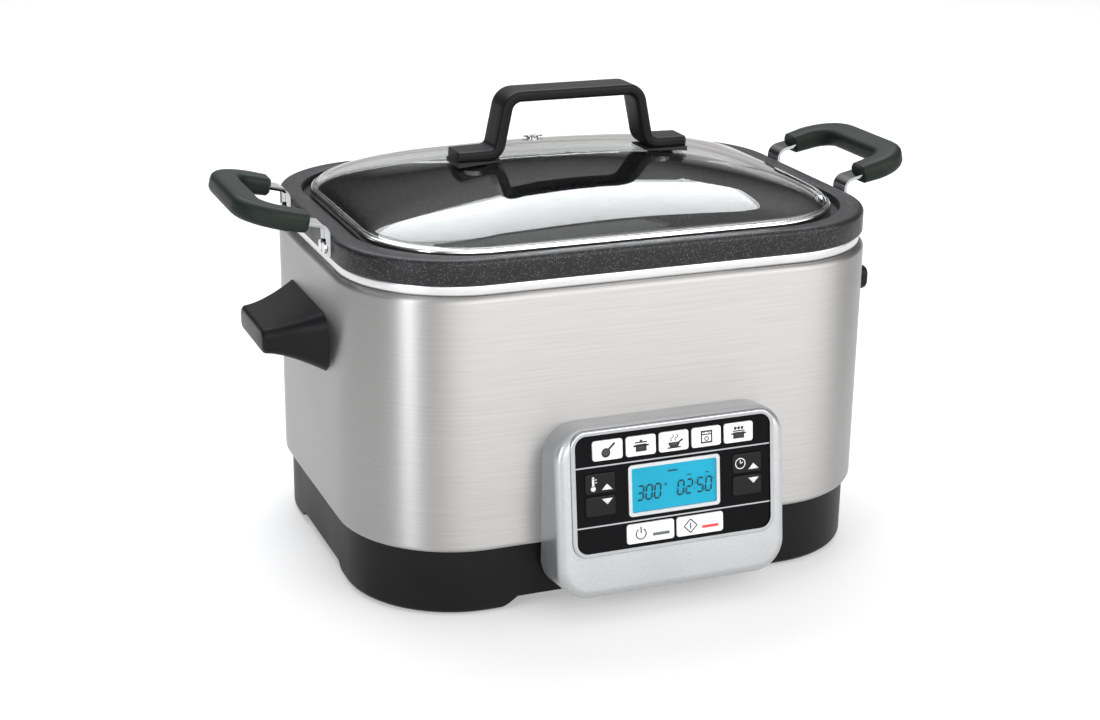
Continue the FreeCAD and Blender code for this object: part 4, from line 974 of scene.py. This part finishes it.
def start_symbol():
    points = [(-4.0, 0), (0, 4.0), (4.0, 0), (0, -4.0)]
    edges = [bar(*a, *b, 0.7) for a, b in zip(points, points[1:] + points[:1])]
    stroke = level(0.4, -1.8, 1.8)
    return edges + [stroke]


# Seven segments of a digit, by letter, and the digits that light them
SEGMENTS = {"a": (0, 1, 1, 1), "b": (1, 1, 1, 0), "c": (1, 0, 1, -1), "d": (0, -1, 1, -1), "e": (0, 0, 0, -1),
            "f": (0, 1, 0, 0), "g": (0, 0, 1, 0)}
DIGITS = {"0": "abcdef", "2": "abged", "3": "abgcd", "5": "afgcd"}
DIGIT_WIDE = 3.5
DIGIT_TALL = 4.0
DIGIT_STROKE = 0.95
DIGIT_SLANT = 0.1
DIGIT_STEP = 5.2
DIGIT_GAP = 0.45
FIGURES_Y = -2.0
TEMPERATURE_X = -22.0
TIME_X = 2.6
COLON_ROOM = 1.6
COLON_X = 12.6
COLON_DOT = 0.7
COLON_HEIGHTS = (-4.0, -0.7)
DEGREE_RING = (-5.2, 1.2, 0.85, 0.45)
STATE_BARS = ((-4.5, 8.2, 1.5, 8.9), (7.6, 4.6, 10.4, 5.1), (18.8, 4.6, 21.2, 5.1))


def digit(character, x, y):
    """Slanted seven-segment figure with small gaps between its strokes."""
    strokes = []
    for name in DIGITS[character]:
        x0, y0, x1, y1 = SEGMENTS[name]
        a = np.array((x + x0 * DIGIT_WIDE, y + y0 * DIGIT_TALL))
        b = np.array((x + x1 * DIGIT_WIDE, y + y1 * DIGIT_TALL))
        gap = (b - a) / np.linalg.norm(b - a) * DIGIT_STROKE * DIGIT_GAP
        strokes.append(bar(*(a + gap), *(b - gap), DIGIT_STROKE))
    return strokes


def display_marks():
    """Temperature and time figures, degree ring, colon and state bars, leaning by the digit slant."""
    strips = []
    for index, character in enumerate("300"):
        strips += digit(character, TEMPERATURE_X + index * DIGIT_STEP, FIGURES_Y)
    strips.append(disc(*DEGREE_RING))
    for index, character in enumerate("0250"):
        past_colon = COLON_ROOM if index > 1 else 0.0
        strips += digit(character, TIME_X + index * DIGIT_STEP + past_colon, FIGURES_Y)
    strips += [slab(COLON_X, y, COLON_X + COLON_DOT, y + COLON_DOT) for y in COLON_HEIGHTS]
    strips += [slab(*corners) for corners in STATE_BARS]
    for strip in strips:
        strip[..., 0] += strip[..., 1] * DIGIT_SLANT
    return strips


MODE_ICONS = [frying_pan, stock_pot, simmering_pan, oven_front, steamer_pot]
ICON_SCALE = 1.18
ARROW_X = 4.0
ICON_X = -4.2
ARROW_HALF = 3.3
ARROW_HIGH = 3.4
ARROW_DROP = 4.0
SIGN_SCALE = 1.3
SYMBOL_X = -6.0


def make_marks():
    """Print on the keys and the display, each riding with its own key or panel."""
    for number, icon in enumerate(MODE_ICONS, start=1):
        strips = [strip * ICON_SCALE for strip in icon()]
        marks(f"mode_icon_{number}", f"mode_key_{number}", strips, INK_BLACK)
    for name, icon in (("temperature", thermometer), ("time", clock_face)):
        up_key, down_key = f"{name}_up_key", f"{name}_down_key"
        strips = [strip * SIGN_SCALE for strip in icon()]
        marks(f"{name}_icon", up_key, strips, INK_WHITE, (ICON_X, 0.0))
        up_arrow = wedge(ARROW_X, -ARROW_DROP, ARROW_HALF, ARROW_HIGH)
        down_arrow = wedge(ARROW_X, ARROW_DROP, ARROW_HALF, -ARROW_HIGH)
        marks(f"{name}_up_arrow", up_key, [up_arrow], INK_WHITE)
        marks(f"{name}_down_arrow", down_key, [down_arrow], INK_WHITE)
    marks("power_icon", "power_key", power_symbol(), INK_BLACK, (SYMBOL_X, 0.0))
    marks("start_icon", "start_key", start_symbol(), INK_BLACK, (SYMBOL_X, 0.0))
    marks("display_figures", "display_lens", display_marks(), INK_LCD)


# Everything that keeps its CAD shape but shows from outside
SMOOTH_NODES = ["base_shell", "panel_housing", "panel_frame", "panel_fascia", "display_frame", "foot_pads",
                "cord_gland", "pot_rivets_left", "pot_rivets_right", "vent_eyelet", "lid_gaskets",
                "lid_washers", "lid_screws", "power_light_lens", "start_light_lens", "display_lens",
                "display_module", "panel_lines", "heat_well", "bottom_cover"]
KEY_NODES = [node for node in NODES if node.endswith("_key") or node.startswith("mode_key")]


def dress_frame():
    """Give every CAD node its finish, and the ones that show a smooth skin."""
    for node, thing in NODES.items():
        thing.data.materials.clear()
        thing.data.materials.append(FINISHES[SLOT_OF[node]])
    for node in SMOOTH_NODES + KEY_NODES:
        smooth_copy(node)


# Studio: pale floor, soft boxes and a surround that is bright in front and dim behind
FLOOR_HALF = 25.0
FLOOR_GLOW = 0.3
FLOOR_PALE = (0.58, 0.58, 0.58)
FLOOR_LOW = (0.575, 0.575, 0.575)
FLOOR_HIGH = (0.585, 0.585, 0.585)
FLOOR_SHEEN = 0.7
FLOOR_SHINE = 0.1
FLOOR_PATCHES = 6.0
WHITE = (1.0, 1.0, 1.0, 1.0)
SOFT_BOXES = [
    # name, place, aim, width, height, power
    ("top_box", (0.0, -0.35, 2.1), (0.0, 0.0, 0.1), 1.8, 1.4, 6.0),
    ("back_box", (0.1, 1.1, 1.8), (0.0, 0.0, 0.2), 2.2, 1.3, 44.0),
    ("left_box", (-1.6, -1.0, 0.6), (0.0, 0.0, 0.12), 0.35, 1.2, 13.0),
    ("right_box", (1.9, -0.7, 0.9), (0.0, 0.0, 0.12), 0.8, 1.3, 1.5),
]
LIGHT_COLOUR = (0.95, 0.975, 1.0)
# Strength of the surround, and where along a direction each part fades in
SURROUND_COLOUR = (1.0, 0.99, 0.98, 1.0)
SURROUND_BACK = 0.05
SURROUND_FRONT = 3.9
FRONT_TOWARDS = (0.34, -0.94, 0.0)
FRONT_FADE = (0.5, 0.85)
SURROUND_TOP = 0.7
TOP_TOWARDS = (0.0, 0.0, 1.0)
TOP_FADE = (0.3, 0.75)
HORIZON = 1.0
HORIZON_FADE = (0.03, 0.32)
HORIZON_TOWARDS = (0.37, 0.93, 0.0)
BEHIND_FADE = (0.8, 0.95)


def surround():
    """World light: bright in front, dim at the sides, with a low band behind that the lid picks up."""
    world = bpy.data.worlds.new("studio_surround")
    bpy.context.scene.world = world
    world.use_nodes = True
    tree = world.node_tree
    place = tree.nodes.new("ShaderNodeTexCoord").outputs["Generated"]

    def link(source, target):
        tree.links.new(source, target)

    def along(direction):
        node = tree.nodes.new("ShaderNodeVectorMath")
        node.operation = "DOT_PRODUCT"
        node.inputs[1].default_value = direction
        link(place, node.inputs[0])
        return node.outputs["Value"]

    def ramp(source, start, end, low, high):
        node = tree.nodes.new("ShaderNodeMapRange")
        for socket, value in (("From Min", start), ("From Max", end), ("To Min", low), ("To Max", high)):
            node.inputs[socket].default_value = value
        link(source, node.inputs["Value"])
        return node.outputs["Result"]

    def join(operation, first, second):
        node = tree.nodes.new("ShaderNodeMath")
        node.operation = operation
        link(first, node.inputs[0])
        link(second, node.inputs[1])
        return node.outputs["Value"]

    front = ramp(along(FRONT_TOWARDS), *FRONT_FADE, SURROUND_BACK, SURROUND_FRONT)
    overhead = ramp(along(TOP_TOWARDS), *TOP_FADE, SURROUND_BACK, SURROUND_TOP)
    low_band = ramp(along(TOP_TOWARDS), *HORIZON_FADE, HORIZON, 0.0)
    behind = ramp(along(HORIZON_TOWARDS), *BEHIND_FADE, 0.0, 1.0)
    strength = join("MAXIMUM", join("MAXIMUM", front, overhead), join("MULTIPLY", low_band, behind))
    link(strength, tree.nodes["Background"].inputs["Strength"])
    tree.nodes["Background"].inputs["Color"].default_value = SURROUND_COLOUR


def studio():
    """Floor, soft boxes turned to their aims, and the surround."""
    mesh = bpy.data.meshes.new("studio_floor")
    edge = FLOOR_HALF
    mesh.from_pydata([(-edge, -edge, 0), (edge, -edge, 0), (edge, edge, 0), (-edge, edge, 0)], [],
                     [(0, 1, 2, 3)])
    floor = bpy.data.objects.new("studio_floor", mesh)
    bpy.context.scene.collection.objects.link(floor)
    pale = Finish("pale_floor", FLOOR_PALE, FLOOR_SHEEN, Specular_IOR_Level=FLOOR_SHINE)
    pale.blend(pale.noise(FLOOR_PATCHES), FLOOR_LOW, FLOOR_HIGH)
    pale.set("Emission Color", WHITE)
    pale.set("Emission Strength", FLOOR_GLOW)
    mesh.materials.append(pale.material)
    for name, place, aim, width, height, power in SOFT_BOXES:
        data = bpy.data.lights.new(name, "AREA")
        data.shape = "RECTANGLE"
        data.size = width
        data.size_y = height
        data.energy = power
        data.color = LIGHT_COLOUR
        light = bpy.data.objects.new(name, data)
        bpy.context.scene.collection.objects.link(light)
        back = np.array(place) - np.array(aim)
        back = back / np.linalg.norm(back)
        right = np.cross(TOP_TOWARDS, back)
        right = right / np.linalg.norm(right)
        light.matrix_world = stance(right, np.cross(back, right), back, place)
    surround()
    bpy.context.scene.view_settings.view_transform = "Standard"


photo_camera()
studio()
dress_frame()
make_wrap()
make_seat_ring()
make_pot()
make_lid_rim()
make_lid_glass()
make_lid_handle()
for hand in (-1, 1):
    make_pot_grip(hand)
    make_brackets(hand)
    make_side_handle(hand)
make_marks()
